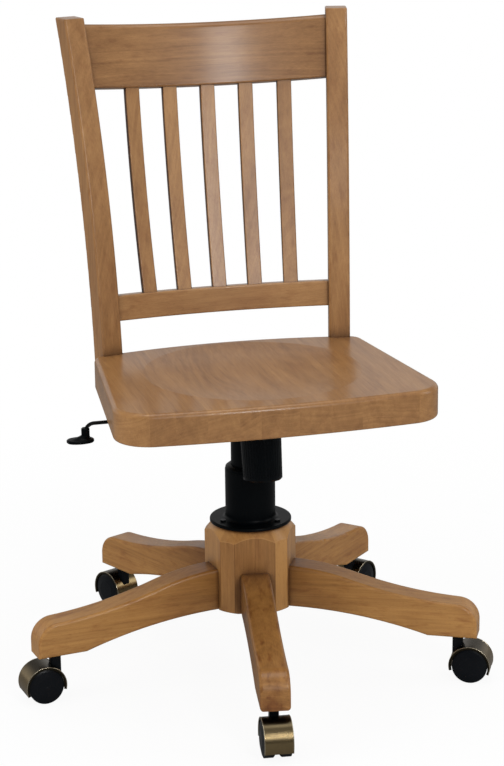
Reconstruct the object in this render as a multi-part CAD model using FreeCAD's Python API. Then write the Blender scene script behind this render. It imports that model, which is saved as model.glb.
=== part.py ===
import FreeCAD, Part
import math
import os

# Armless wooden swivel desk chair, seen from the front. All lengths are in millimetres.
# The origin is on the floor under the column. +Z is up and the sitter faces -Y.
# Left and right are as seen from the front, so right is +X.

V = FreeCAD.Vector
ORIGIN = V(0, 0, 0)
X_AXIS = V(1, 0, 0)
Y_AXIS = V(0, 1, 0)
Z_AXIS = V(0, 0, 1)
FULL_TURN = 360

# Five-legged base
leg_count = 5
front_leg_angle = -99.7
leg_names = ["leg_front", "leg_right", "leg_rear_right", "leg_rear_left", "leg_left"]
caster_names = ["caster_front", "caster_right", "caster_rear_right", "caster_rear_left", "caster_left"]

hub_bottom_z = 98.0
hub_top_z = 219.5
hub_face_distance = 59.5
hub_facet_distance = 65.0
hub_shoulder_z = 198.0
hub_shoulder_middle_z = 210.5
hub_shoulder_middle_radius = 63.1
hub_shoulder_radius = 66.3
hub_rim_radius = 57.6
hub_bottom_edge = 2.0
hub_bore_radius = 28.0

leg_width = 41.0
leg_top_z = 158.0
leg_underside_z = 97.0
leg_top_slope = 2.0
leg_turn_share = 0.3296
leg_turn_z = 143.2
leg_crown_z = 116.5
leg_tip_reach = 328.0
leg_nose_length = 29.0
leg_pad_length = 70.0
leg_pad_z = 67.5
leg_edge_radius = 4.5
leg_tenon_length = 14.0
leg_tenon_width = 24.0
leg_tenon_margin = 11.0

leg_bolt_radius = 4.0
leg_bolt_length = 84.0
leg_bolt_head_across = 13.0
leg_bolt_head_height = 5.0
leg_bolt_z = 128.0
leg_bolt_recess_radius = 9.0
leg_bolt_recess_depth = 6.0

# Casters
caster_turns = [3.0, 0.0, -4.0, -1.0, 0.0]
caster_stem_setback = 28.5
caster_trail = 19.0
wheel_radius = 25.0
wheel_inner_offset = 4.2
wheel_rim_offset = 18.0
wheel_shoulder_radius = 22.6
wheel_shoulder_offset = 19.0
wheel_dome_radius = 14.0
wheel_dome_offset = 20.7
wheel_crown_offset = 21.0
wheel_tread_round = 1.6
wheel_hub_radius = 7.0
axle_radius = 3.0
axle_clearance = 0.05
axle_half_length = 17.0
web_half_thickness = 3.0
web_radius = 21.0
web_clearance = 1.0
neck_length = 14.4
neck_width = 12.6
neck_bottom_z = 30.0
neck_edge_radius = 2.0
stem_radius = 5.0
stem_length = 30.0
socket_radius = 6.5
socket_clearance = 0.05
socket_length = 33.0
socket_flange_radius = 10.0
socket_flange_thickness = 1.5
socket_gap = 0.2
hood_radius = 29.3
hood_thickness = 1.3
hood_width = 38.6
hood_lip = 2.2
hood_outer_droop = 22.0
hood_inner_droop = 15.0
hood_neck_gap = 0.2

# Gas lift and its covers
sleeve_flange_radius = 42.0
sleeve_flange_thickness = 3.0
sleeve_top_margin = 4.0
stand_tube_radius = 25.0
stand_tube_wall = 2.0
stand_tube_bottom_z = 100.0
stand_tube_top_z = 330.0
stand_tube_taper_top_z = 190.0
stand_tube_tip_radius = 23.2
stand_tube_floor = 4.0
bush_depth = 40.0
bush_lip_thickness = 3.0
pressure_tube_radius = 14.0
pressure_tube_wall = 2.0
pressure_tube_bottom_z = 118.0
gland_height = 8.0
valve_slope = 4.0
cone_bottom_z = 342.0
cone_top_z = 385.0
cone_top_radius = 13.2
piston_rod_radius = 5.0
piston_rod_top_z = 241.0
piston_radius = 11.8
piston_height = 14.0
rod_foot_radius = 12.0
rod_foot_height = 3.0
rod_hole_clearance = 0.05
bearing_radius = 17.0
bearing_height = 6.0
bearing_groove = 1.2
release_pin_radius = 3.5
release_pin_top_z = 390.0
release_pin_depth = 26.0
slide_clearance = 0.05
cover_wall = 1.8
cover_lower_radius = 35.6
cover_lower_top_z = 295.5
cover_flange_radius = 58.2
cover_flange_thickness = 4.0
cover_flange_round = 2.0
cover_root_round = 5.0
cover_gap = 0.3
cover_middle_wall = 1.6
cover_middle_bottom_z = 226.0
cover_cap_top_z = 302.5
cover_cap_drop = 3.4
cover_upper_radius = 26.9
cover_upper_wall = 1.3
cover_upper_bottom_z = 246.0
cover_upper_top_thickness = 2.0
cover_screw_circle_radius = 44.5
cover_screw_angle = -46.0
cover_screw_count = 3
cover_screw_radius = 2.0
cover_screw_head_radius = 4.0
cover_screw_head_height = 2.2
cover_screw_length = 20.0

# Tilt mechanism under the seat
sheet = 3.0
housing_half_width = 27.0
housing_top_z = 383.0
housing_wall_bottom_z = 361.0
housing_wing_y = -36.0
housing_wing_drop = 1.5
housing_wing_length = 58.0
housing_rear_y = 62.0
housing_corner = 10.0
housing_stop_height = 3.0
cone_socket_radius = 18.5
cone_socket_bottom_z = 342.0
cone_socket_top_z = 386.0
axle_y = 14.0
axle_z = 372.0
pivot_pin_radius = 4.0
pivot_pin_head_radius = 7.0
pivot_pin_head_height = 2.5
ear_radius = 10.0
plate_half_width = 76.0
plate_front_y = -98.0
plate_rear_y = 98.0
plate_corner = 18.0
plate_lip_gap = 3.2
plate_lip_depth = 2.8
plate_lip_front_y = -84.0
plate_lip_rear_y = 84.0
bridge_front_length = 20.0
bridge_rear_length = 16.0
bridge_gap = 0.2
bridge_slot_front = 12.0
bridge_slot_rear = 7.0
tension_axis_y = -69.5
tension_axis_z = 299.6
tension_axis_lean = 8.9
tension_bolt_radius = 4.8
tension_bar_radius = 4.0
tension_bar_half_length = 20.0
tension_bar_gap = 0.1
tension_bolt_hole = 0.4
spring_wire_radius = 2.4
spring_mean_radius = 17.0
spring_turns = 6
spring_gap = 0.15
cup_radius = 23.2
cup_thickness = 3.0
cup_rim_height = 5.0
cup_bore_clearance = 0.06
knob_top_radius = 28.4
knob_bottom_radius = 27.3
knob_length = 60.0
knob_cup_gap = 0.2
knob_floor = 16.0
knob_base = 3.0
bolt_engagement = 8.0
knob_bottom_round = 2.5
knob_rib_count = 40
knob_rib_groove = 1.2
knob_rib_groove_depth = 0.7
knob_rib_stop = 6.0
screw_radius = 3.0
screw_length = 26.0
screw_head_radius = 6.0
screw_head_height = 3.0
screw_x = 58.0
screw_y = 80.0

# Height lever
lever_y = -8.0
lever_z = 384.0
lever_rod_radius = 2.6
lever_pivot_x = -41.0
lever_pivot_half_length = 9.3
lever_pivot_radius = 2.5
lever_pivot_clearance = 0.06
lever_blade_half_width = 6.0
lever_blade_thickness = 2.8
lever_blade_gap = 0.2
lever_blade_reach = 8.0
lever_ear_thickness = 2.0
lever_ear_half_span = 9.5
lever_tongue_reach = 20.0
lever_ear_half_width = 4.5
lever_ear_top = 3.8
lever_tongue_z = 376.0
lever_run_inset = 5.3
lever_bend_radius = 12.0
lever_end_length = 2.0
lever_collar_radius = 5.8
lever_collar_drop = 5.6
lever_collar_bevel = 1.2
paddle_half_length = 19.2
paddle_half_width = 12.6
paddle_thickness = 4.6
paddle_drop = 25.8
paddle_edge_bevel = 1.2
paddle_shift = 7.4
paddle_flare_height = 5.2
paddle_waist_share = 0.43
paddle_waist_height_share = 0.28
paddle_flare_margin = 1.6

# Wooden seat
seat_bottom_z = 401.0
seat_top_z = 445.5
seat_front_y = -206.0
seat_front_bow = 15.0
seat_front_half_width = 229.5
seat_side_taper = 31.5
seat_rear_y = 142.0
seat_rear_bow = 26.0
seat_front_corner_radius = 50.0
seat_rear_corner_radius = 20.0
seat_top_round = 7.0
seat_bottom_round = 3.0
seat_scoop_depth = 7.0
seat_scoop_radius = 152.0
seat_scoop_y = -22.0

# Back of the chair, built on a curve
post_inset = 24.8
post_rear_margin = 11.5
post_turn = 14.6
post_width = 31.0
post_depth = 33.0
post_rise = 464.0
post_lean = 34.1
post_curve = 58.9
post_head_height = 4.0
post_edge_radius = 3.0
post_top_edge_radius = 2.0

rail_thickness = 20.0
rail_setback = 8.0
rail_edge_radius = 2.5
rail_shoulder = 5.0
rail_tenon_length = 16.0
crest_setback = 8.0
crest_height = 87.9
crest_roll_radius = 9.0
lower_rail_rise = 44.5
lower_rail_height = 36.5

slat_count = 5
slat_width = 21.4
slat_thickness = 9.0
slat_low_share = 0.3054
slat_high_share = 0.3268
slat_tenon_length = 9.0
slat_edge_radius = 1.5
slat_setback = 3.5

post_bolt_radius = 3.5
post_bolt_head_radius = 6.5
post_bolt_head_height = 3.0
post_bolt_length = 80.0
post_bolt_margin = 12.0

# Where the lever's straight run ends beside the seat, and where its end points down
lever_run_x = lever_run_inset - seat_front_half_width
lever_drop_x = lever_run_x - lever_bend_radius

# Distance of the caster stems from the column
caster_circle_radius = leg_tip_reach - caster_stem_setback

# Half width of the seat's rear edge, and where the posts meet the seat
seat_rear_half_width = seat_front_half_width - seat_side_taper
post_seat_x = seat_rear_half_width - post_inset
post_seat_y = seat_rear_y - post_rear_margin

# Levels of the posts' tops and of the two rails
post_top_z = seat_top_z + post_rise + post_head_height
crest_top_z = post_top_z - crest_setback
crest_bottom_z = crest_top_z - crest_height
lower_bottom_z = seat_top_z + lower_rail_rise
lower_top_z = lower_bottom_z + lower_rail_height

# Angles where the five legs leave the hub
leg_angles = [front_leg_angle + FULL_TURN / leg_count * k for k in range(leg_count)]

# The tension bolt's own direction, leaning its foot towards the sitter's knees
TENSION_UP = V(0, math.sin(math.radians(tension_axis_lean)), math.cos(math.radians(tension_axis_lean)))


def solid_of(points, height):
    """A straight prism on a flat polygon in the XY plane."""
    return Part.Face(Part.makePolygon(points + [points[0]])).extrude(V(0, 0, height))


def block(low, high):
    """A box between two corners."""
    size = high - low
    return Part.makeBox(size.x, size.y, size.z, low)


def turned(profile):
    """A solid of revolution about Z from (radius, height) pairs."""
    points = [V(radius, 0, z) for radius, z in profile]
    return Part.Face(Part.makePolygon(points + [points[0]])).revolve(ORIGIN, Z_AXIS, FULL_TURN)


def pipe(outer, inner, low, high):
    """A plain tube about Z."""
    return turned([(inner, low), (outer, low), (outer, high), (inner, high)])


def rod(radius, low, high):
    """A plain cylinder about Z."""
    return Part.makeCylinder(radius, high - low, V(0, 0, low))


def turn_z(shape, degrees):
    """A copy turned about the Z axis."""
    copy = shape.copy()
    copy.rotate(ORIGIN, Z_AXIS, degrees)
    return copy


def mirrored(shape):
    """The same piece on the other side of the chair."""
    return shape.mirror(ORIGIN, X_AXIS)


def edges_where(shape, test):
    """The edges whose middle point and direction pass a test."""
    found = []
    for edge in shape.Edges:
        middle = edge.valueAt((edge.FirstParameter + edge.LastParameter) / 2)
        if test(edge, middle):
            found.append(edge)
    return found


def is_upright(edge):
    """True for a straight edge along Z."""
    start = edge.valueAt(edge.FirstParameter)
    end = edge.valueAt(edge.LastParameter)
    return math.hypot(end.x - start.x, end.y - start.y) < abs(end.z - start.z) / FULL_TURN


def is_level(edge):
    """True for an edge that stays at one height."""
    box = edge.BoundBox
    return box.ZLength < box.DiagonalLength / FULL_TURN


def arc_from(start, way, end):
    """The arc that leaves start along a unit vector and ends at end, with its unit direction there."""
    chord = end - start
    along = chord / chord.Length
    aside = way - along * way.dot(along)
    half_bulge = math.tan(way.getAngle(along) / 2) * chord.Length / 2
    middle = start + chord / 2 + aside.normalize() * half_bulge
    return Part.Arc(start, middle, end).toShape(), along * (2 * way.dot(along)) - way


def biarc(start, way, end, end_way):
    """Two arcs that join smoothly and run from start along way to end along end_way."""
    chord = end - start
    both = way + end_way
    bend = 2 * (1 - way.dot(end_way))
    reach = (math.sqrt(chord.dot(both) ** 2 + bend * chord.dot(chord)) - chord.dot(both)) / bend
    joint = start + chord / 2 + (way - end_way) * (reach / 2)
    first, joint_way = arc_from(start, way, joint)
    return [first, arc_from(joint, joint_way, end)[0]]


# Base


def make_hub():
    """Ten-sided turned-top block: five wide leg faces and five narrow facets, bored for the column."""
    half_step = FULL_TURN / leg_count / 2
    faces_prism = pentagon_prism(hub_face_distance, half_step)
    facets_prism = pentagon_prism(hub_facet_distance, 0)
    shoulder = Part.Arc(
        V(hub_shoulder_radius, 0, hub_shoulder_z),
        V(hub_shoulder_middle_radius, 0, hub_shoulder_middle_z),
        V(hub_rim_radius, 0, hub_top_z),
    ).toShape()
    inner_top = V(hub_bore_radius, 0, hub_top_z)
    inner_low = V(hub_bore_radius, 0, hub_bottom_z)
    edge_start = V(hub_shoulder_radius - hub_bottom_edge, 0, hub_bottom_z)
    edge_end = V(hub_shoulder_radius, 0, hub_bottom_z + hub_bottom_edge)
    rim = Part.makePolygon([V(hub_rim_radius, 0, hub_top_z), inner_top, inner_low, edge_start, edge_end,
                            V(hub_shoulder_radius, 0, hub_shoulder_z)])
    turned_block = Part.Face(Part.Wire(rim.Edges + [shoulder])).revolve(ORIGIN, Z_AXIS, FULL_TURN)
    hub = turned_block.common(faces_prism).common(facets_prism)
    for angle in leg_angles:
        hub = hub.cut(turn_z(leg_tenon(), angle))
        hub = hub.cut(turn_z(leg_bolt_space(), angle))
    return hub


def pentagon_prism(face_distance, offset):
    """A five-sided prism as tall as the hub, with its flats at face_distance from the axis."""
    corner_radius = face_distance / math.cos(math.pi / leg_count)
    corners = []
    for angle in leg_angles:
        turn = math.radians(angle + offset)
        corners.append(V(corner_radius * math.cos(turn), corner_radius * math.sin(turn), hub_bottom_z))
    return solid_of(corners, hub_top_z - hub_bottom_z)


def leg_outline():
    """Side view of a leg: an S-curved top, a rounded tip, a flat pad and an arched underside."""
    root_top = V(hub_face_distance, 0, leg_top_z)
    turn = V(hub_face_distance + (leg_tip_reach - hub_face_distance) * leg_turn_share, 0, leg_turn_z)
    crown = V(leg_tip_reach - leg_nose_length, 0, leg_crown_z)
    toe = V(leg_tip_reach, 0, leg_pad_z)
    heel = V(leg_tip_reach - leg_pad_length, 0, leg_pad_z)
    root_low = V(hub_face_distance, 0, leg_underside_z)
    root_turn = math.radians(leg_top_slope)
    shoulder, way = arc_from(root_top, V(math.cos(root_turn), 0, -math.sin(root_turn)), turn)
    hollow, way = arc_from(turn, way, crown)
    nose_radius = leg_nose_length / (1 + way.z)
    tip = V(leg_tip_reach, 0, leg_crown_z - nose_radius * way.x)
    nose = arc_from(crown, way, tip)[0]
    arch = arc_from(root_low, X_AXIS, heel)[0]
    lines = [Part.makeLine(tip, toe), Part.makeLine(toe, heel), Part.makeLine(root_low, root_top)]
    return Part.Wire(Part.__sortEdges__([shoulder, hollow, nose, arch] + lines))


def leg_tenon():
    """The stub on a leg's root that fits the hub's mortise."""
    low = V(hub_face_distance - leg_tenon_length, -leg_tenon_width / 2, leg_underside_z + leg_tenon_margin)
    high = V(hub_face_distance, leg_tenon_width / 2, leg_top_z - leg_tenon_margin)
    return block(low, high)


def leg_bolt_space():
    """The hole and recess that a leg's bolt needs in hub and leg."""
    seat_at = hub_bore_radius + leg_bolt_recess_depth
    recess = Part.makeCylinder(leg_bolt_recess_radius, seat_at - hub_bore_radius / 2,
                               V(hub_bore_radius / 2, 0, leg_bolt_z), X_AXIS)
    shank = Part.makeCylinder(leg_bolt_radius, leg_bolt_length, V(seat_at, 0, leg_bolt_z), X_AXIS)
    return recess.fuse(shank)


def leg_bolt():
    """Hex lag bolt from the hub's bore into the leg's end grain."""
    seat_at = hub_bore_radius + leg_bolt_recess_depth
    corner = leg_bolt_head_across / 2 / math.cos(math.pi / 6)
    points = []
    for k in range(6):
        turn = math.pi / 3 * k
        points.append(V(corner * math.cos(turn), corner * math.sin(turn), 0))
    head = solid_of(points, leg_bolt_head_height)
    head.rotate(ORIGIN, Y_AXIS, 90)
    head.translate(V(seat_at - leg_bolt_head_height, 0, leg_bolt_z))
    shank = Part.makeCylinder(leg_bolt_radius, leg_bolt_length, V(seat_at, 0, leg_bolt_z), X_AXIS)
    return head.fuse(shank)


def make_leg():
    """One leg along +X with softened edges, a tenon at its root and a socket hole in its pad."""
    blank = Part.Face(leg_outline()).extrude(V(0, leg_width, 0))
    blank.translate(V(0, -leg_width / 2, 0))

    def along_side(edge, middle):
        beyond_root = middle.x > hub_face_distance + leg_edge_radius
        at_side = abs(middle.y) > leg_width / 2 - leg_edge_radius / 2
        return beyond_root and at_side

    blank = blank.makeFillet(leg_edge_radius, edges_where(blank, along_side))

    leg = blank.fuse(leg_tenon())
    leg = leg.cut(leg_bolt_space())
    bore = rod(socket_radius, leg_pad_z, leg_pad_z + socket_length)
    bore.translate(V(caster_circle_radius, 0, 0))
    return leg.cut(bore)


# Casters


def at_stem(shape):
    """Moves a caster piece from its own origin under the stem to the end of a leg along +X."""
    copy = shape.copy()
    copy.translate(V(caster_circle_radius, 0, 0))
    return copy


def across(shape):
    """Lays a shape that was turned about Z along the wheel's axle."""
    copy = shape.copy()
    copy.rotate(ORIGIN, X_AXIS, -90)
    copy.translate(V(caster_trail, 0, wheel_radius))
    return copy


def make_socket():
    """Steel sleeve with a small flange, pressed into the leg's pad."""
    flange_low = leg_pad_z - socket_flange_thickness
    bore = stem_radius + socket_clearance
    top = leg_pad_z + socket_length
    flange = [(bore, flange_low), (socket_flange_radius, flange_low), (socket_flange_radius, leg_pad_z)]
    return at_stem(turned(flange + [(socket_radius, leg_pad_z), (socket_radius, top), (bore, top)]))


def neck_block(spare):
    """The upright block above the axle that reaches up to the leg's pad, widened by spare."""
    top = leg_pad_z - socket_flange_thickness - socket_gap
    low = V(-neck_length / 2 - spare, -neck_width / 2 - spare, neck_bottom_z)
    block_shape = block(low, V(neck_length / 2 + spare, neck_width / 2 + spare, top))
    upright = edges_where(block_shape, lambda edge, middle: is_upright(edge))
    return block_shape.makeFillet(neck_edge_radius, upright)


def make_caster_body():
    """Moulded body: neck block, web between the wheels, steel stem and axle."""
    inside = across(rod(wheel_radius + web_clearance, -neck_width, neck_width))
    web = across(rod(web_radius, -web_half_thickness, web_half_thickness))
    bridge_top = wheel_radius + hood_radius
    bridge = block(V(0, -web_half_thickness, wheel_radius), V(caster_trail, web_half_thickness, bridge_top))
    bridge = bridge.common(across(rod(hood_radius - hood_thickness - hood_neck_gap, -neck_width, neck_width)))
    stem = rod(stem_radius, neck_bottom_z, leg_pad_z + stem_length)
    axle = across(rod(axle_radius, -axle_half_length, axle_half_length))
    body = neck_block(0).cut(inside).fuse([web, bridge, stem.cut(inside), axle])
    return at_stem(body.removeSplitter())


def make_hood():
    """Pressed metal hood: a wide curved band over both wheels with lips turned in at its sides."""
    half = hood_width / 2
    band = pipe(hood_radius, hood_radius - hood_thickness, -half, half)
    lip_inner = hood_radius - hood_thickness - hood_lip
    lip = pipe(hood_radius, lip_inner, half - hood_thickness, half)
    other_lip = pipe(hood_radius, lip_inner, -half, hood_thickness - half)
    ring = across(band.fuse([lip, other_lip]).removeSplitter())
    centre = V(caster_trail, 0, wheel_radius)
    reach = hood_radius * 2
    outer_turn = math.radians(hood_outer_droop)
    inner_turn = math.radians(hood_inner_droop)
    outer_low = centre + V(reach * math.cos(outer_turn), -hood_width, -reach * math.sin(outer_turn))
    inner_low = centre + V(-reach * math.cos(inner_turn), -hood_width, -reach * math.sin(inner_turn))
    middle = centre + V(0, -hood_width, 0)
    below = middle + V(0, 0, -reach)
    gap = Part.Face(Part.makePolygon([middle, outer_low, outer_low + V(0, 0, -reach), below + V(0, 0, -reach),
                                      inner_low + V(0, 0, -reach), inner_low, middle]))
    hood = ring.cut(gap.extrude(V(0, hood_width * 2, 0)))
    return at_stem(hood.cut(neck_block(hood_neck_gap)))


def make_wheel(side):
    """One black wheel with a rounded tread and a domed outer face, side +1 or -1 along the axle."""
    bore = axle_radius + axle_clearance
    hub_end = axle_half_length + axle_clearance
    boss_offset = wheel_inner_offset - web_clearance
    boss = [(bore, boss_offset), (wheel_hub_radius, boss_offset), (wheel_hub_radius, wheel_inner_offset)]
    tread = [(wheel_radius - wheel_tread_round, wheel_inner_offset),
             (wheel_radius, wheel_inner_offset + wheel_tread_round), (wheel_radius, wheel_rim_offset)]
    face = [(wheel_shoulder_radius, wheel_shoulder_offset), (wheel_dome_radius, wheel_dome_offset),
            (0, wheel_crown_offset), (0, hub_end), (bore, hub_end)]
    wheel = turned(boss + tread + face)
    if side < 0:
        wheel = wheel.mirror(ORIGIN, Z_AXIS)
    return at_stem(across(wheel))


# Gas lift


def make_sleeve():
    """Steel sleeve with a flange under the hub; the stand tube wedges in its tapered bore."""
    top = hub_top_z - sleeve_top_margin
    low = hub_bottom_z - sleeve_flange_thickness
    flare = (stand_tube_radius - stand_tube_tip_radius) / (stand_tube_taper_top_z - stand_tube_bottom_z)
    bore_low = stand_tube_tip_radius - flare * (stand_tube_bottom_z - low)
    return turned([(bore_low, low), (sleeve_flange_radius, low), (sleeve_flange_radius, hub_bottom_z),
                   (hub_bore_radius, hub_bottom_z), (hub_bore_radius, top), (stand_tube_radius, top),
                   (stand_tube_radius, stand_tube_taper_top_z)])


def make_stand_tube():
    """Outer tube of the gas lift, tapered at its foot, with a floor that carries the thrust bearing."""
    floor_top = stand_tube_bottom_z + stand_tube_floor
    inner = stand_tube_radius - stand_tube_wall
    tip_inner = stand_tube_tip_radius - stand_tube_wall
    hole = piston_rod_radius + rod_hole_clearance
    return turned([(hole, stand_tube_bottom_z), (stand_tube_tip_radius, stand_tube_bottom_z),
                   (stand_tube_radius, stand_tube_taper_top_z), (stand_tube_radius, stand_tube_top_z),
                   (inner, stand_tube_top_z), (inner, stand_tube_taper_top_z),
                   (tip_inner, floor_top), (hole, floor_top)])


def make_bush():
    """Plastic guide bush in the stand tube's mouth, in which the pressure tube slides and turns."""
    bore = pressure_tube_radius + slide_clearance
    inner = stand_tube_radius - stand_tube_wall
    return turned([(bore, stand_tube_top_z - bush_depth), (inner, stand_tube_top_z - bush_depth),
                   (inner, stand_tube_top_z), (stand_tube_radius, stand_tube_top_z),
                   (stand_tube_radius, stand_tube_top_z + bush_lip_thickness),
                   (bore, stand_tube_top_z + bush_lip_thickness)])


def make_pressure_tube():
    """Pressure tube with the taper that wedges into the mechanism's socket."""
    inner = pressure_tube_radius - pressure_tube_wall
    gland = piston_rod_radius + slide_clearance
    pin_bore = release_pin_radius + slide_clearance
    gland_top = pressure_tube_bottom_z + gland_height
    chamber_top = cone_top_z - release_pin_depth
    outside = [(gland, pressure_tube_bottom_z), (pressure_tube_radius, pressure_tube_bottom_z),
               (pressure_tube_radius, cone_bottom_z), (cone_top_radius, cone_top_z)]
    inside = [(pin_bore, cone_top_z), (pin_bore, chamber_top), (inner, chamber_top - valve_slope),
              (inner, gland_top), (gland, gland_top)]
    return turned(outside + inside)


def make_piston_rod():
    """Piston rod with its piston, and the foot clip that holds it under the stand tube's floor."""
    floor_top = stand_tube_bottom_z + stand_tube_floor
    foot_top = stand_tube_bottom_z - socket_gap
    shaft = rod(piston_rod_radius, foot_top - rod_foot_height, piston_rod_top_z)
    foot = rod(rod_foot_radius, foot_top - rod_foot_height, foot_top)
    collar_low = floor_top + bearing_height + socket_gap
    collar = rod(rod_foot_radius, collar_low, collar_low + rod_foot_height)
    piston = rod(piston_radius, piston_rod_top_z - piston_height, piston_rod_top_z)
    return shaft.fuse([foot, collar, piston])


def make_bearing():
    """Ball thrust bearing as a stack of two washers with a narrower ball ring between."""
    low = stand_tube_bottom_z + stand_tube_floor
    high = low + bearing_height
    bore = piston_rod_radius + rod_hole_clearance
    groove_low = low + bearing_height / 3
    groove_high = high - bearing_height / 3
    waist = bearing_radius - bearing_groove
    return turned([(bore, low), (bearing_radius, low), (bearing_radius, groove_low), (waist, groove_low),
                   (waist, groove_high), (bearing_radius, groove_high), (bearing_radius, high), (bore, high)])


def make_release_pin():
    """Pin in the top of the gas lift that opens its valve when it is pressed."""
    return rod(release_pin_radius, cone_top_z - release_pin_depth + slide_clearance, release_pin_top_z)


def make_cover_lower():
    """Outer column cover with its round flange on the hub."""
    inner = cover_lower_radius - cover_wall
    flange_top = hub_top_z + cover_flange_thickness
    cover = turned([(inner, hub_top_z), (cover_flange_radius, hub_top_z), (cover_flange_radius, flange_top),
                    (cover_lower_radius, flange_top), (cover_lower_radius, cover_lower_top_z),
                    (inner, cover_lower_top_z)])

    middle_radius = (cover_flange_radius + cover_lower_radius) / 2

    def on_flange_top(edge, middle):
        return is_level(edge) and abs(middle.z - flange_top) < cover_flange_thickness / 2

    def at_rim(edge, middle):
        return on_flange_top(edge, middle) and edge.BoundBox.XLength / 2 > middle_radius

    def at_root(edge, middle):
        return on_flange_top(edge, middle) and edge.BoundBox.XLength / 2 < middle_radius

    cover = cover.makeFillet(cover_flange_round, edges_where(cover, at_rim))
    cover = cover.makeFillet(cover_root_round, edges_where(cover, at_root))
    return cover.cut(cover_screw_group())


def make_cover_middle():
    """Middle column cover: a tube with a domed cap that rests on the outer cover's rim."""
    outer = cover_lower_radius - cover_wall - cover_gap
    inner = outer - cover_middle_wall
    opening = cover_upper_radius + cover_gap
    rest_z = cover_lower_top_z + socket_gap
    cap_edge_z = cover_cap_top_z - cover_cap_drop
    dome_radius = (cover_lower_radius + opening) / 2
    dome = [(cover_lower_radius - cover_gap, rest_z), (cover_lower_radius - cover_wall / 2, cap_edge_z),
            (dome_radius, cover_cap_top_z - cover_wall / 2), (opening, cover_cap_top_z)]
    tube = [(opening, cap_edge_z), (inner, rest_z), (inner, cover_middle_bottom_z),
            (outer, cover_middle_bottom_z), (outer, rest_z)]
    return turned(dome + tube)


def make_cover_upper():
    """Inner column cover, hanging from the mechanism's socket."""
    inner = cover_upper_radius - cover_upper_wall
    bore = pressure_tube_radius + cover_gap
    ceiling = cone_socket_bottom_z - cover_upper_top_thickness
    return turned([(inner, cover_upper_bottom_z), (cover_upper_radius, cover_upper_bottom_z),
                   (cover_upper_radius, cone_socket_bottom_z), (bore, cone_socket_bottom_z),
                   (bore, ceiling), (inner, ceiling)])


def cover_screw_group():
    """Three pan-head screws through the flange into the hub."""
    flange_top = hub_top_z + cover_flange_thickness
    head = rod(cover_screw_head_radius, flange_top, flange_top + cover_screw_head_height)
    shank = rod(cover_screw_radius, flange_top - cover_screw_length, flange_top)
    screw = head.fuse(shank)
    screw.translate(V(cover_screw_circle_radius, 0, 0))
    step = FULL_TURN / cover_screw_count
    return Part.makeCompound([turn_z(screw, cover_screw_angle + step * k) for k in range(cover_screw_count)])


# Tilt mechanism


def along_tension(shape):
    """Moves a shape drawn about Z, with its foot at the origin, onto the tension bolt's axis."""
    copy = shape.copy()
    copy.rotate(ORIGIN, X_AXIS, -tension_axis_lean)
    copy.translate(V(0, tension_axis_y, tension_axis_z))
    return copy


def tension_height(z):
    """How far up the tension bolt's axis a level is."""
    return (z - tension_axis_z) / TENSION_UP.z


def wing_height():
    """Where the wing's underside crosses the tension axis, measured along it."""
    wing_start_z = housing_top_z - sheet - housing_wing_drop
    run = V(0, housing_wing_y - tension_axis_y, wing_start_z - tension_axis_z)
    return run.dot(TENSION_UP)


def make_housing():
    """Pressed steel body: inverted channel, socket for the gas lift, front wing and lever ears."""
    ceiling = housing_top_z - sheet
    top = block(V(-housing_half_width, housing_wing_y, ceiling),
                V(housing_half_width, housing_rear_y, housing_top_z))
    walls = []
    for side in (-1, 1):
        inner = side * (housing_half_width - sheet)
        outer = side * housing_half_width
        points = [V(inner, housing_wing_y, ceiling), V(inner, housing_rear_y, ceiling),
                  V(inner, housing_rear_y, ceiling - sheet),
                  V(inner, axle_y + ear_radius, housing_wall_bottom_z),
                  V(inner, housing_wing_y + housing_corner, housing_wall_bottom_z),
                  V(inner, housing_wing_y, housing_wall_bottom_z + housing_corner)]
        walls.append(Part.Face(Part.makePolygon(points + [points[0]])).extrude(V(outer - inner, 0, 0)))
    stop = block(V(-housing_half_width, housing_rear_y - sheet, ceiling),
                 V(housing_half_width, housing_rear_y, housing_top_z + housing_stop_height))
    wing = block(V(-housing_half_width, -housing_wing_length / 2, wing_height()),
                 V(housing_half_width, housing_wing_length / 2, wing_height() + sheet))
    wing_corners = edges_where(wing, lambda edge, middle: is_upright(edge) and middle.y < 0)
    wing = along_tension(wing.makeFillet(housing_corner, wing_corners))
    socket = pipe(cone_socket_radius, pressure_tube_radius - sheet, cone_socket_bottom_z, cone_socket_top_z)
    tongue_x = -housing_half_width - lever_tongue_reach
    tongue_low_y = lever_y - lever_ear_half_span - lever_ear_thickness
    tongue_high_y = lever_y + lever_ear_half_span + lever_ear_thickness
    tongue = block(V(tongue_x, tongue_low_y, lever_tongue_z - sheet),
                   V(-housing_half_width, tongue_high_y, lever_tongue_z))
    ear_height = lever_z + lever_ear_top - lever_tongue_z + sheet
    ears = []
    for start in (tongue_low_y, tongue_high_y - lever_ear_thickness):
        low = V(lever_pivot_x - lever_ear_half_width, start, lever_tongue_z - sheet)
        ears.append(block(low, low + V(lever_ear_half_width * 2, lever_ear_thickness, ear_height)))
    body = top.fuse(walls + [stop, wing, socket, tongue] + ears)
    body = body.cut(gas_lift_taper())
    pin_hole = rod(pivot_pin_radius, -plate_half_width, plate_half_width)
    pin_hole.rotate(ORIGIN, Y_AXIS, 90)
    pin_hole.translate(V(0, axle_y, axle_z))
    socket_core = rod(cone_socket_radius, cone_socket_bottom_z, cone_socket_top_z)
    body = body.cut(pin_hole.cut(socket_core))
    lever_hole = Part.makeCylinder(lever_pivot_radius + lever_pivot_clearance, tongue_high_y - tongue_low_y,
                                   V(lever_pivot_x, tongue_low_y, lever_z), Y_AXIS)
    bolt_hole = along_tension(rod(tension_bolt_radius + tension_bolt_hole, 0, tension_height(seat_bottom_z)))
    return body.cut(lever_hole).cut(bolt_hole).removeSplitter()


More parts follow.
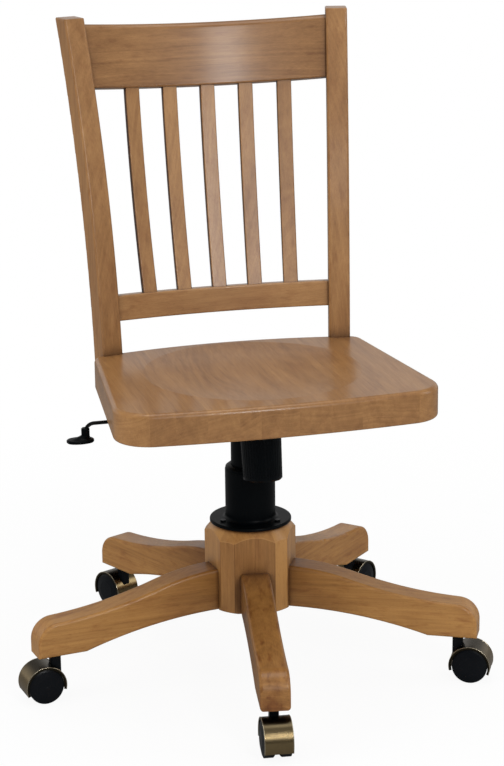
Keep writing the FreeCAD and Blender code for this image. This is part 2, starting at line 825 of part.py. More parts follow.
def gas_lift_taper():
    """The space that the gas lift's taper fills in the mechanism's socket."""
    return turned([(0, cone_bottom_z), (pressure_tube_radius, cone_bottom_z), (cone_top_radius, cone_top_z),
                   (cone_top_radius, cone_socket_top_z), (0, cone_socket_top_z)])


def make_pivot_pins():
    """Two shoulder rivets on which the seat plate tilts."""
    pins = []
    for side in (-1, 1):
        start = side * (housing_half_width - sheet)
        ear_outer = side * (housing_half_width + plate_lip_gap + sheet)
        inner_end = V(start, axle_y, axle_z)
        outer_end = V(ear_outer, axle_y, axle_z)
        shank = Part.makeCylinder(pivot_pin_radius, abs(ear_outer - start), inner_end, X_AXIS * side)
        head = Part.makeCylinder(pivot_pin_head_radius, pivot_pin_head_height, outer_end, X_AXIS * side)
        rivet_height = pivot_pin_head_height / 2
        rivet = Part.makeCylinder(pivot_pin_head_radius, rivet_height, inner_end, X_AXIS * -side)
        pins.append(shank.fuse([head, rivet]))
    return Part.makeCompound(pins)


def make_seat_plate():
    """Pressed seat plate: flat sheet, two lips with pivot ears, and the bridge that the bolt pulls on."""
    low = seat_bottom_z - sheet
    narrow = plate_half_width - plate_corner
    front_side_y = plate_front_y + plate_corner
    rear_side_y = plate_rear_y - plate_corner
    plate = solid_of([V(-narrow, plate_front_y, low), V(narrow, plate_front_y, low),
                      V(plate_half_width, front_side_y, low), V(plate_half_width, rear_side_y, low),
                      V(narrow, plate_rear_y, low), V(-narrow, plate_rear_y, low),
                      V(-plate_half_width, rear_side_y, low), V(-plate_half_width, front_side_y, low)], sheet)
    below_plate = block(V(-plate_half_width, plate_front_y, 0), V(plate_half_width, 0, low))
    pieces = []
    bridge_low = wing_height() + sheet + bridge_gap
    for side in (-1, 1):
        inner = side * (housing_half_width + plate_lip_gap)
        outer = inner + side * sheet
        start_x = min(inner, outer)
        lip = block(V(start_x, plate_lip_front_y, low - plate_lip_depth),
                    V(start_x + sheet, plate_lip_rear_y, low))
        ear = block(V(start_x, axle_y - ear_radius, axle_z), V(start_x + sheet, axle_y + ear_radius, low))
        eye = Part.makeCylinder(ear_radius, sheet, V(start_x, axle_y, axle_z), X_AXIS)
        cheek = block(V(start_x, -bridge_front_length, bridge_low),
                      V(start_x + sheet, bridge_rear_length, tension_height(low)))
        pieces += [lip, ear, eye, along_tension(cheek).common(below_plate)]
    reach = housing_half_width + plate_lip_gap
    bridge = block(V(-reach, -bridge_front_length, bridge_low),
                   V(reach, bridge_rear_length, bridge_low + sheet))
    slot_half = tension_bolt_radius + tension_bolt_hole
    slot = block(V(-slot_half, -bridge_slot_front, bridge_low),
                 V(slot_half, bridge_slot_rear, bridge_low + sheet))
    pieces.append(along_tension(bridge.cut(slot)))
    plate = plate.fuse(pieces)
    pin_hole = rod(pivot_pin_radius + slide_clearance, -plate_half_width, plate_half_width)
    pin_hole.rotate(ORIGIN, Y_AXIS, 90)
    pin_hole.translate(V(0, axle_y, axle_z))
    return plate.cut(pin_hole).cut(seat_screw_group()).removeSplitter()


def seat_screw_group():
    """Four pan-head screws that hold the seat plate under the seat."""
    low = seat_bottom_z - sheet
    head = rod(screw_head_radius, low - screw_head_height, low)
    shank = rod(screw_radius, low, low + screw_length)
    screw = head.fuse(shank)
    screws = []
    for x in (-screw_x, screw_x):
        for y in (-screw_y, screw_y):
            copy = screw.copy()
            copy.translate(V(x, y, 0))
            screws.append(copy)
    return Part.makeCompound(screws)


def make_tension_bolt():
    """T-headed tension bolt: its bar lies on the bridge and its shank runs down through spring and knob."""
    bar_height = wing_height() + sheet * 2 + bridge_gap + tension_bar_gap + tension_bar_radius
    shank = rod(tension_bolt_radius, knob_floor - bolt_engagement, bar_height)
    bar = Part.makeCylinder(tension_bar_radius, tension_bar_half_length * 2,
                            V(-tension_bar_half_length, 0, bar_height), X_AXIS)
    return along_tension(shank.fuse(bar).removeSplitter())


def coil_point(turns):
    """A point of the spring's centre line after some turns, and its direction there."""
    low = knob_floor + cup_thickness + spring_gap + spring_wire_radius
    pitch = (wing_height() - spring_gap - spring_wire_radius - low) / spring_turns
    turn = 2 * math.pi * turns
    point = V(spring_mean_radius * math.cos(turn), spring_mean_radius * math.sin(turn), low + pitch * turns)
    way = V(-spring_mean_radius * math.sin(turn), spring_mean_radius * math.cos(turn), pitch / (2 * math.pi))
    return point, way.normalize()


def make_spring():
    """Coil spring between the spring cup and the wing, its centre line two smooth arcs for each half turn."""
    arcs = []
    for half_turn in range(2 * spring_turns):
        start, way = coil_point(half_turn / 2)
        end, end_way = coil_point((half_turn + 1) / 2)
        arcs += biarc(start, way, end, end_way)
    first_point, first_way = coil_point(0)
    section = Part.Wire(Part.makeCircle(spring_wire_radius, first_point, first_way))
    coil = Part.Wire(arcs).makePipeShell([section], True, False)
    print("least gap between the spring's turns: %.2f mm" % coil_gap())
    return along_tension(coil)


def coil_gap():
    """The least distance between the surfaces of neighbouring turns, from points of the centre line."""
    steps = FULL_TURN // 10
    points = [coil_point(k / steps)[0] for k in range(steps * spring_turns + 1)]
    nearest = []
    for k, point in enumerate(points):
        others = points[k + steps // 2:]
        nearest += [point.distanceToPoint(other) for other in others]
    return min(nearest) - 2 * spring_wire_radius


def make_cup():
    """Pressed cup washer that carries the spring on the knob's floor."""
    bore = tension_bolt_radius + cup_bore_clearance
    low = knob_floor + socket_gap / 2
    floor_top = knob_floor + cup_thickness
    rim_inner = cup_radius - cup_thickness
    rim_top = floor_top + cup_rim_height
    return along_tension(turned([(bore, low), (cup_radius, low), (cup_radius, rim_top), (rim_inner, rim_top),
                                 (rim_inner, floor_top), (bore, floor_top)]))


def make_knob():
    """Tall ribbed tension knob: a slightly tapered cup over the spring, grooved all round for grip."""
    bore = tension_bolt_radius + cup_bore_clearance
    inner = cup_radius + knob_cup_gap
    outside = [(0, 0), (knob_bottom_radius - knob_bottom_round, 0), (knob_bottom_radius, knob_bottom_round),
               (knob_top_radius, knob_length)]
    inside = [(inner, knob_length), (inner, knob_floor), (bore, knob_floor), (bore, knob_base),
              (0, knob_base)]
    knob = turned(outside + inside)
    reach = knob_top_radius + knob_rib_groove - knob_rib_groove_depth
    groove = Part.makeCylinder(knob_rib_groove, knob_length, V(reach, 0, knob_rib_stop))
    taper = math.degrees(math.atan((knob_top_radius - knob_bottom_radius) / knob_length))
    groove.rotate(V(reach, 0, knob_length), Y_AXIS, taper)
    grooves = [turn_z(groove, FULL_TURN / knob_rib_count * k) for k in range(knob_rib_count)]
    return along_tension(knob.cut(Part.makeCompound(grooves)))


# Height lever


def make_lever():
    """Height lever: blade over the release pin, pivot bar, round rod out to the side and its bent end."""
    blade_low = release_pin_top_z + lever_blade_gap
    blade_top = blade_low + lever_blade_thickness
    blade = block(V(lever_pivot_x, lever_y - lever_blade_half_width, blade_low),
                  V(lever_blade_reach, lever_y + lever_blade_half_width * 2, blade_top))
    post = block(V(lever_pivot_x - lever_rod_radius, lever_y - lever_blade_half_width, lever_z),
                 V(lever_pivot_x + lever_rod_radius, lever_y + lever_blade_half_width, blade_top))
    pivot_half = lever_pivot_half_length + lever_ear_thickness
    pivot = Part.makeCylinder(lever_pivot_radius, pivot_half * 2,
                              V(lever_pivot_x, lever_y - pivot_half, lever_z), Y_AXIS)
    run_end = V(lever_run_x, lever_y, lever_z)
    run = Part.makeCylinder(lever_rod_radius, lever_pivot_x - lever_run_x, run_end, X_AXIS)
    section = Part.Face(Part.Wire(Part.makeCircle(lever_rod_radius, run_end, X_AXIS)))
    bend = section.revolve(run_end - Z_AXIS * lever_bend_radius, Y_AXIS, -90)
    bend_end = V(lever_drop_x, lever_y, lever_z - lever_bend_radius)
    end = Part.makeCylinder(lever_rod_radius, lever_end_length, bend_end, Z_AXIS * -1)
    return blade.fuse([post, pivot, run, bend, end]).removeSplitter()


def make_paddle():
    """Moulded thumb paddle: an oval plate whose top flares up into a collar on the lever's bent end."""
    plate = Part.Face(oval(paddle_half_length, paddle_half_width, 0, 0)).extrude(V(0, 0, paddle_thickness))
    plate = plate.makeChamfer(paddle_edge_bevel, edges_where(plate, lambda edge, middle: is_level(edge)))
    foot = oval(paddle_half_length - paddle_flare_margin, paddle_half_width - paddle_flare_margin, 0,
                paddle_thickness)
    waist = oval((paddle_half_length + lever_collar_radius) * paddle_waist_share,
                 (paddle_half_width + lever_collar_radius) * paddle_waist_share, paddle_shift / 2,
                 paddle_thickness + paddle_flare_height * paddle_waist_height_share)
    flare_top = paddle_thickness + paddle_flare_height
    neck = oval(lever_collar_radius, lever_collar_radius, paddle_shift, flare_top)
    flare = Part.makeLoft([foot, waist, neck], True, False)
    collar_top = paddle_drop - lever_collar_drop
    collar = turned([(0, flare_top), (lever_collar_radius, flare_top),
                     (lever_collar_radius, collar_top - lever_collar_bevel),
                     (lever_collar_radius - lever_collar_bevel, collar_top), (0, collar_top)])
    collar.translate(V(paddle_shift, 0, 0))
    paddle = plate.fuse([flare, collar])
    paddle.translate(V(lever_drop_x - paddle_shift, lever_y, lever_z - paddle_drop))
    return paddle.cut(make_lever()).removeSplitter()


def oval(half_length, half_width, shift, level):
    """A level oval of eight smooth arcs, long along X, with its middle at shift along X."""
    ends = [X_AXIS * half_length, Y_AXIS * half_width, X_AXIS * -half_length, Y_AXIS * -half_width]
    ways = [Y_AXIS, X_AXIS * -1, Y_AXIS * -1, X_AXIS]
    arcs = []
    for k, end in enumerate(ends):
        arcs += biarc(ends[k - 1], ways[k - 1], end, ways[k])
    ring = Part.Wire(arcs)
    ring.translate(V(shift, 0, level))
    return ring


# Seat


def make_seat():
    """Solid wooden seat: bowed front and rear, large front corners, rounded edges and a scooped top."""
    front_end_y = seat_front_y + seat_front_bow
    rear_end_y = seat_rear_y - seat_rear_bow
    front = Part.Arc(V(-seat_front_half_width, front_end_y, seat_bottom_z), V(0, seat_front_y, seat_bottom_z),
                     V(seat_front_half_width, front_end_y, seat_bottom_z)).toShape()
    rear = Part.Arc(V(-seat_rear_half_width, rear_end_y, seat_bottom_z), V(0, seat_rear_y, seat_bottom_z),
                    V(seat_rear_half_width, rear_end_y, seat_bottom_z)).toShape()
    sides = [Part.makeLine(V(side * seat_front_half_width, front_end_y, seat_bottom_z),
                           V(side * seat_rear_half_width, rear_end_y, seat_bottom_z)) for side in (-1, 1)]
    outline = Part.Wire(Part.__sortEdges__([front, rear] + sides))
    seat = Part.Face(outline).extrude(V(0, 0, seat_top_z - seat_bottom_z))
    front_corners = edges_where(seat, lambda edge, middle: is_upright(edge) and middle.y < 0)
    seat = seat.makeFillet(seat_front_corner_radius, front_corners)
    rear_corners = edges_where(seat, lambda edge, middle: is_upright(edge) and middle.y > 0)
    seat = seat.makeFillet(seat_rear_corner_radius, rear_corners)
    middle_z = (seat_bottom_z + seat_top_z) / 2
    top_edges = edges_where(seat, lambda edge, middle: is_level(edge) and middle.z > middle_z)
    seat = seat.makeFillet(seat_top_round, top_edges)
    low_edges = edges_where(seat, lambda edge, middle: is_level(edge) and middle.z < middle_z)
    seat = seat.makeFillet(seat_bottom_round, low_edges)
    ball_radius = (seat_scoop_radius ** 2 + seat_scoop_depth ** 2) / (2 * seat_scoop_depth)
    scoop = Part.makeSphere(ball_radius, V(0, seat_scoop_y, seat_top_z - seat_scoop_depth + ball_radius))
    seat = seat.cut(scoop)
    notch = post_space()
    seat = seat.cut(notch).cut(mirrored(notch))
    return seat.cut(seat_screw_group()).cut(post_bolt_group())


# Back


def lean_at(z):
    """How far a post's middle has leant back at a height."""
    t = (z - seat_top_z) / post_rise
    return post_lean * t + post_curve * t * t


def lean_angle(z):
    """The post's slope from the vertical at a height, in degrees."""
    t = (z - seat_top_z) / post_rise
    return math.degrees(math.atan((post_lean + 2 * post_curve * t) / post_rise))


def on_post(shape):
    """Moves a shape from a post's own frame (X outwards, Y back) to the right-hand post's place."""
    copy = shape.copy()
    copy.rotate(ORIGIN, Z_AXIS, -post_turn)
    copy.translate(V(post_seat_x, post_seat_y, 0))
    return copy


def post_blank(low_z, high_z, extra):
    """A post's curved body between two levels, with its front face moved forwards by extra."""
    middle_z = (low_z + high_z) / 2
    front = [V(0, lean_at(z) - post_depth / 2 - extra, z) for z in (low_z, middle_z, high_z)]
    back = [V(0, lean_at(z) + post_depth / 2, z) for z in (low_z, middle_z, high_z)]
    edges = [Part.Arc(*front).toShape(), Part.makeLine(front[2], back[2]), Part.Arc(*back).toShape(),
             Part.makeLine(back[0], front[0])]
    blank = Part.Face(Part.Wire(Part.__sortEdges__(edges))).extrude(V(post_width, 0, 0))
    blank.translate(V(-post_width / 2, 0, 0))
    return blank


def post_space():
    """The notch that a post's foot fills in the seat's rear edge."""
    reach = post_depth * 2
    notch = block(V(-post_width / 2, lean_at(seat_bottom_z) - post_depth / 2, seat_bottom_z),
                  V(post_width / 2, reach, seat_top_z))
    return on_post(notch)


def make_post():
    """Right-hand back post, sawn to a gentle curve, with softened edges and mortises for the rails."""
    post = post_blank(seat_bottom_z, post_top_z, 0)

    def long_edge(edge, middle):
        return edge.BoundBox.ZLength > post_rise / 2

    def top_edge(edge, middle):
        return is_level(edge) and middle.z > post_top_z - post_top_edge_radius

    post = post.makeFillet(post_edge_radius, edges_where(post, long_edge))
    post = post.makeFillet(post_top_edge_radius, edges_where(post, top_edge))
    foot = block(V(-post_width, lean_at(seat_bottom_z) - post_depth, seat_bottom_z),
                 V(post_width, lean_at(seat_bottom_z) - post_depth / 2, seat_top_z))
    post = on_post(post.cut(foot))
    for low_z, high_z in ((crest_bottom_z, crest_top_z), (lower_bottom_z, lower_top_z)):
        post = post.cut(rail_strip(low_z, high_z, rail_shoulder, rail_tenon_length))
    return post.cut(post_bolt_group())


def rail_frame(low_z, high_z):
    """Where a rail's front face meets the right-hand post, its height along the slope, and its slope."""
    middle_z = (low_z + high_z) / 2
    slope = lean_angle(middle_z)
    turn = math.radians(post_turn)
    out = V(math.cos(turn), -math.sin(turn), 0)
    back = V(math.sin(turn), math.cos(turn), 0)
    centre = V(post_seat_x, post_seat_y, middle_z) + back * lean_at(middle_z)
    end = centre - out * (post_width / 2) - back * (post_depth / 2 - rail_setback)
    height = (high_z - low_z) / math.cos(math.radians(slope))
    return end, height, slope


def tilted(shape, low_z, high_z):
    """Moves a shape from a rail's own frame (X along it, Y back, Z up its slope) to its place."""
    end = rail_frame(low_z, high_z)[0]
    copy = shape.copy()
    copy.rotate(ORIGIN, X_AXIS, -rail_frame(low_z, high_z)[2])
    copy.translate(V(0, end.y, end.z))
    return copy


def rail_curve_radius(low_z, high_z):
    """Radius of a rail's front face, so that its ends meet the turned posts squarely."""
    return rail_frame(low_z, high_z)[0].x / math.sin(math.radians(post_turn))


def rail_strip(low_z, high_z, shoulder, reach):
    """A curved strip between the posts, thinner by shoulder on every side, reaching into them by reach."""
    height = rail_frame(low_z, high_z)[1]
    inner_radius = rail_curve_radius(low_z, high_z)
    centre_y = -inner_radius * math.cos(math.radians(post_turn))
    half = height / 2 - shoulder
    ring = pipe(inner_radius + rail_thickness - shoulder, inner_radius + shoulder, -half, half)
    ring.translate(V(0, centre_y, 0))
    front = block(V(-inner_radius * 2, -inner_radius * 3, -height), V(inner_radius * 2, -post_seat_x, height))
    strip = tilted(ring.cut(front), low_z, high_z)
    beyond = on_post(block(V(reach - post_width / 2, -inner_radius * 2, -height),
                           V(inner_radius * 2, inner_radius * 2, post_top_z * 2)))
    return strip.cut(beyond).cut(mirrored(beyond))


def make_rail(low_z, high_z, roll_radius, slats):
    """A bowed rail with tenons in the posts and mortises for the slats; roll_radius rounds its top front."""
    rail = rail_strip(low_z, high_z, 0, 0)
    end, height, slope = rail_frame(low_z, high_z)
    up = V(0, math.sin(math.radians(slope)), math.cos(math.radians(slope)))
    span = end.x

    def side_of(middle):
        offset = middle - V(0, end.y, end.z)
        return offset.dot(up)

    def long_edge(edge):
        return edge.BoundBox.XLength > span

    def front_top(edge, middle):
        bow = rail_curve_radius(low_z, high_z) * (1 - math.cos(math.radians(post_turn)))
        top_y = end.y + bow * math.cos(math.radians(slope)) + up.y * height / 2
        return long_edge(edge) and side_of(middle) > 0 and middle.y < top_y + rail_thickness / 2

    def others(edge, middle):
        return long_edge(edge) and not front_top(edge, middle)

    rail = rail.makeFillet(roll_radius, edges_where(rail, front_top))
    rail = rail.makeFillet(rail_edge_radius, edges_where(rail, others))
    rail = rail.fuse(rail_strip(low_z, high_z, rail_shoulder, rail_tenon_length))
    return rail.cut(Part.makeCompound(slats))


def rail_point(low_z, high_z, x, up_share):
    """Where a slat's middle crosses a rail at x, up_share of its height from its centre, and the way back."""
    end, height, slope = rail_frame(low_z, high_z)
    radius = rail_curve_radius(low_z, high_z)
    middle_radius = radius + slat_setback + slat_thickness / 2
    local_y = math.sqrt(middle_radius ** 2 - x ** 2) - radius * math.cos(math.radians(post_turn))
    turn = math.radians(slope)
    point = V(x, end.y + local_y * math.cos(turn) + up_share * height * math.sin(turn),
              end.z - local_y * math.sin(turn) + up_share * height * math.cos(turn))
    yaw = math.asin(x / middle_radius)
    return point, V(math.sin(yaw), math.cos(yaw), 0)


def make_slat(index):
    """One flat slat, bent to the same curve as the posts, with a tenon at each end."""
    place = index - (slat_count - 1) / 2
    foot, back = rail_point(lower_bottom_z, lower_top_z, place * post_seat_x * slat_low_share, 1 / 2)
    head, head_back = rail_point(crest_bottom_z, crest_top_z, place * post_seat_x * slat_high_share, -1 / 2)
    chord = head - foot
    length = chord.Length
    up = chord / length
    width_way = back.cross(up)
    width_way.normalize()
    back_way = up.cross(width_way)
    bow = post_curve * ((head.z - foot.z) / post_rise) ** 2 / 4
    reach = length / 2 + slat_tenon_length
    bow_at_reach = bow * (reach / (length / 2)) ** 2
    front = [V(0, bow_at_reach - bow - slat_thickness / 2, -reach), V(0, -bow - slat_thickness / 2, 0),
             V(0, bow_at_reach - bow - slat_thickness / 2, reach)]
    rear = [point + V(0, slat_thickness, 0) for point in front]
    edges = [Part.Arc(*front).toShape(), Part.makeLine(front[2], rear[2]), Part.Arc(*rear).toShape(),
             Part.makeLine(rear[0], front[0])]
    slat = Part.Face(Part.Wire(Part.__sortEdges__(edges))).extrude(V(slat_width, 0, 0))
    slat.translate(V(-slat_width / 2, 0, 0))
    long_edges = edges_where(slat, lambda edge, middle: edge.BoundBox.ZLength > length)
    slat = slat.makeFillet(slat_edge_radius, long_edges)
    spin = FreeCAD.Rotation(width_way * -1, back_way, up, "ZXY")
    slat.Placement = FreeCAD.Placement(foot + chord / 2, spin).multiply(slat.Placement)
    return slat


def post_bolt_group():
    """Four bolts from the back of the posts into the seat's rear edge."""
    bolts = []
    for level in (seat_bottom_z + post_bolt_margin, seat_top_z - post_bolt_margin):
        rear_y = lean_at(level) + post_depth / 2
        under_head = V(0, rear_y - post_bolt_head_height, level)
        head = Part.makeCylinder(post_bolt_head_radius, post_bolt_head_height, under_head, Y_AXIS)
        shank = Part.makeCylinder(post_bolt_radius, post_bolt_length, under_head, Y_AXIS * -1)
        bolt = on_post(head.fuse(shank))
        bolts += [bolt, mirrored(bolt)]
    return Part.makeCompound(bolts)


def build():
    """Every piece of the chair by name."""
    parts = {"seat": make_seat(), "post_right": make_post()}
    parts["post_left"] = mirrored(parts["post_right"])
    slats = [make_slat(index) for index in range(slat_count)]
    for index, slat in enumerate(slats):
        parts["slat_%d" % (index + 1)] = slat
    parts["crest_rail"] = make_rail(crest_bottom_z, crest_top_z, crest_roll_radius, slats)
    parts["lower_rail"] = make_rail(lower_bottom_z, lower_top_z, rail_edge_radius, slats)
    parts["post_bolts"] = post_bolt_group()

    parts["seat_plate"] = make_seat_plate()
    parts["seat_screws"] = seat_screw_group()
    parts["tilt_housing"] = make_housing()
    parts["pivot_pins"] = make_pivot_pins()
    parts["tension_bolt"] = make_tension_bolt()
    parts["tension_spring"] = make_spring()
    parts["spring_cup"] = make_cup()
    parts["tension_knob"] = make_knob()
    parts["height_lever"] = make_lever()
    parts["lever_paddle"] = make_paddle()

    parts["stand_tube"] = make_stand_tube()
    parts["guide_bush"] = make_bush()
    parts["pressure_tube"] = make_pressure_tube()
    parts["piston_rod"] = make_piston_rod()
    parts["thrust_bearing"] = make_bearing()
    parts["release_pin"] = make_release_pin()
    parts["cover_lower"] = make_cover_lower()
    parts["cover_middle"] = make_cover_middle()
    parts["cover_upper"] = make_cover_upper()
    parts["cover_screws"] = cover_screw_group()

    parts["hub"] = make_hub().cut(parts["cover_screws"])
    parts["hub_sleeve"] = make_sleeve()
    leg = make_leg()
    for name, angle in zip(leg_names, leg_angles):
        parts[name] = turn_z(leg, angle)
    parts["leg_bolts"] = Part.makeCompound([turn_z(leg_bolt(), angle) for angle in leg_angles])
    parts["caster_sockets"] = Part.makeCompound([turn_z(make_socket(), angle) for angle in leg_angles])
    pieces = {"body": make_caster_body(), "hood": make_hood()}
    pieces.update({"wheel_a": make_wheel(1), "wheel_b": make_wheel(-1)})
    for name, angle, turn in zip(caster_names, leg_angles, caster_turns):
        for piece, shape in pieces.items():
            swivelled = shape.copy()
            swivelled.rotate(V(caster_circle_radius, 0, 0), Z_AXIS, turn)
            parts[name + "_" + piece] = turn_z(swivelled, angle)
    return parts


os.makedirs("parts", exist_ok=True)
for part_name, shape in build().items():
    shape.exportStep("parts/%s.step" % part_name)
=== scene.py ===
# %% [markdown]
# An armless wooden swivel desk chair: a scooped seat, a back of slats between two curved posts,
# a black gas-lift column with a tension knob, and a five-legged wooden base on brass-hooded casters.
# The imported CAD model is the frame. Its solids stay where they are, and this file gives each one the
# finish of the real piece, adds the fine trim that the solids leave out, and sets light and camera.

import math

import bpy
import numpy as np
from mathutils import Matrix, Vector


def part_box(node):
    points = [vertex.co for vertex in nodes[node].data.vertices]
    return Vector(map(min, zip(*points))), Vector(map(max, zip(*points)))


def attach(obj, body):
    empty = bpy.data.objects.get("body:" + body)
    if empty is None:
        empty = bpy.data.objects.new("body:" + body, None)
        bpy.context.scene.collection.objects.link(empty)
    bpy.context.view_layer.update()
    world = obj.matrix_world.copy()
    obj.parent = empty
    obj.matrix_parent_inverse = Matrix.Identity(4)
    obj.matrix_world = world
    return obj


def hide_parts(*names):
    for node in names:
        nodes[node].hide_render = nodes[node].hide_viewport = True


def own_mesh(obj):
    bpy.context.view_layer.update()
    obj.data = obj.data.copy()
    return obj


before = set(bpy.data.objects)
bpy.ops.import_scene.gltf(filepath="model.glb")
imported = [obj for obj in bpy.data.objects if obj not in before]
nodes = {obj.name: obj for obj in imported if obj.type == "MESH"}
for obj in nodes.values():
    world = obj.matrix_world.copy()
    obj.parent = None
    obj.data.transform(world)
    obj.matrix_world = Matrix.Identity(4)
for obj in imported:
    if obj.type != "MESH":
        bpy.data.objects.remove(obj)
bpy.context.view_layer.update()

# %% [markdown]
# The camera stands to the left of the chair and looks down on it a little. Its place was worked out
# from straight edges and circles whose real sizes are known, so that every edge of the frame falls on
# the same edge of the photograph. The three turns are taken one after the other: round the upright,
# then down, then a slight roll, and the matrix holds the camera's right, up and backward directions.

# %% Camera
IMAGE_HEIGHT = 766
FOCAL_LENGTH_IN_PIXELS = 2209.7
SENSOR = 36.0  # the larger side, in millimetres
CAMERA_PLACE = (-0.7696, -2.8806, 1.2641)
CAMERA_TURNS = (-15.041, 15.803, -0.647)


def camera_axes(turn, tip, roll):
    """Right, up and look: look is level north turned by turn and lowered by tip; roll mixes right and up."""
    look = Vector((-math.sin(turn) * math.cos(tip), math.cos(turn) * math.cos(tip), -math.sin(tip)))
    right = Vector((math.cos(turn), math.sin(turn), 0.0))
    up = right.cross(look)
    rolled_right = math.cos(roll) * right + math.sin(roll) * up
    rolled_up = math.cos(roll) * up - math.sin(roll) * right
    return rolled_right, rolled_up, look


right, up, look = camera_axes(*(math.radians(angle) for angle in CAMERA_TURNS))
camera_data = bpy.data.cameras.new("photo_camera")
camera_data.sensor_width = SENSOR
camera_data.lens = FOCAL_LENGTH_IN_PIXELS * SENSOR / IMAGE_HEIGHT
camera = bpy.data.objects.new("photo_camera", camera_data)
camera.matrix_world = Matrix((right, up, -look)).transposed().to_4x4()
camera.location = CAMERA_PLACE
scene = bpy.context.scene
scene.collection.objects.link(camera)
scene.camera = camera
print("lens: %.1f mm" % camera_data.lens)

# %% [markdown]
# The light, the floor and every finish below are small networks of nodes. A few helpers keep them
# readable: one adds a node and sets its values, others do arithmetic on numbers or vectors, turn one
# range of values into another, and blend two colours. Wherever a helper takes a value, the output of
# another node may stand, and is then linked.

# %% Helpers for node networks


def feed(tree, socket, value):
    """Links a socket to another, or writes a number, vector or colour into it."""
    if isinstance(value, bpy.types.NodeSocket):
        tree.links.new(value, socket)
    elif isinstance(value, tuple) and len(value) == 3 and socket.type == "RGBA":
        socket.default_value = value + (1.0,)
    else:
        socket.default_value = value


def add(tree, kind, **values):
    """Adds a node of a kind and sets its inputs, by their names, and its properties."""
    node = tree.nodes.new("ShaderNode" + kind)
    for name, value in values.items():
        title = name.replace("_", " ")
        if title in node.inputs:
            feed(tree, node.inputs[title], value)
        else:
            setattr(node, name, value)
    return node


def calc(tree, operation, first, second=0.0, third=0.0):
    """The result of one Math node."""
    node = add(tree, "Math", operation=operation)
    for socket, value in zip(node.inputs, (first, second, third)):
        feed(tree, socket, value)
    return node.outputs[0]


def vector_calc(tree, operation, *vectors, **scale):
    """The result of one Vector Math node: a number for a length or a dot product, or else a vector."""
    node = add(tree, "VectorMath", operation=operation, **scale)
    for socket, value in zip(node.inputs, vectors):
        feed(tree, socket, value)
    return node.outputs["Value" if operation in ("LENGTH", "DOT_PRODUCT") else "Vector"]


def axis_of(tree, vector, axis):
    """One coordinate of a vector."""
    return add(tree, "SeparateXYZ", Vector=vector).outputs[axis]


def rise(tree, value, limits, low=0.0, high=1.0, kind="LINEAR"):
    """Goes from low, where value is at the first limit, to high at the second, and stays flat beyond."""
    return add(tree, "MapRange", interpolation_type=kind, Value=value, From_Min=limits[0], From_Max=limits[1],
               To_Min=low, To_Max=high).outputs["Result"]


def blend_colour(tree, factor, first, second, kind="MIX"):
    """A colour between first and second, or their product where kind is MULTIPLY."""
    node = add(tree, "Mix", data_type="RGBA", blend_type=kind)
    for name, value in (("Factor", factor), ("A", first), ("B", second)):
        feed(tree, node.inputs[name], value)
    return node.outputs["Result"]


print("helpers:", [helper.__name__ for helper in (feed, add, calc, vector_calc, axis_of, rise, blend_colour)])

# %% [markdown]
# A product photograph like this one is taken in a dark studio before a pale backdrop. Matt surfaces get
# an even light from all round. Shiny ones show what is round them: the pale backdrop where they mirror
# what is behind the chair, a grey ceiling, and the dark room in front, which leaves black plastic black.
# The camera itself sees white. The world tells these rays apart, and it is left out of lamp sampling,
# so that each surface really looks where its own rays go.

# %% World
WHITE = (1.0, 1.0, 1.0)
EVEN_LIGHT = 0.70
DARK_ROOM = 0.03
PALE_BACKDROP = 0.60
PALE_CEILING = 0.40
# Between these coordinates of a ray's direction, each part of the room fades in
BACKDROP_SIDES = (-0.1, 0.8)
BACKDROP_TOP = (0.60, 0.28)
CEILING_EDGE = (0.45, 0.9)
scene.view_settings.view_transform = "Standard"
world = bpy.data.worlds.new("studio")
scene.world = world
world.use_nodes = True
world.cycles.sampling_method = "NONE"
sky = world.node_tree
background = sky.nodes["Background"]
feed(sky, background.inputs["Color"], WHITE)
direction = add(sky, "TexCoord").outputs["Generated"]
northward, upward = axis_of(sky, direction, "Y"), axis_of(sky, direction, "Z")
behind = calc(sky, "MULTIPLY", rise(sky, northward, BACKDROP_SIDES, kind="SMOOTHSTEP"),
              rise(sky, upward, BACKDROP_TOP, kind="SMOOTHSTEP"))
above = rise(sky, upward, CEILING_EDGE, high=PALE_CEILING, kind="SMOOTHSTEP")
mirrored = calc(sky, "ADD", calc(sky, "MULTIPLY_ADD", behind, PALE_BACKDROP, above), DARK_ROOM)
rays = add(sky, "LightPath").outputs
shiny = calc(sky, "MAXIMUM", rays["Is Glossy Ray"], rays["Is Transmission Ray"])
matt_part = calc(sky, "MULTIPLY", calc(sky, "SUBTRACT", 1.0, shiny), EVEN_LIGHT)
light = calc(sky, "MULTIPLY_ADD", shiny, mirrored, matt_part)
feed(sky, background.inputs["Strength"], calc(sky, "MAXIMUM", light, rays["Is Camera Ray"]))
print("world nodes:", len(sky.nodes))

# %% [markdown]
# Five soft boxes give the chair its shape. A tall narrow one stands before the chair to the right: its
# mirror image is the pale band on the crest rail and the slats. A low wide one further left makes the
# soft highlight on the right post and the bright line across the brass hoods. One hangs above the seat,
# and one at each side brightens the edges. The left one is kept out of mirror images, because from the
# side it would turn the whole seat white.

# %% Soft boxes
LAMP_AIM = (0.0, 0.0, 0.5)
SOFT_BOXES = {  # place, width, height and watts
    "front_box": ((0.62, -3.0, 1.8), 0.38, 1.5, 28.0),
    "low_box": ((-0.33, -3.0, 1.40), 0.80, 0.5, 3.4),
    "top_box": ((0.1, 0.0, 3.2), 1.6, 1.6, 17.5),
    "left_box": ((-3.0, -0.6, 1.6), 1.6, 2.2, 32.0),
    "right_box": ((2.8, -0.9, 1.6), 1.2, 2.0, 16.0),
}


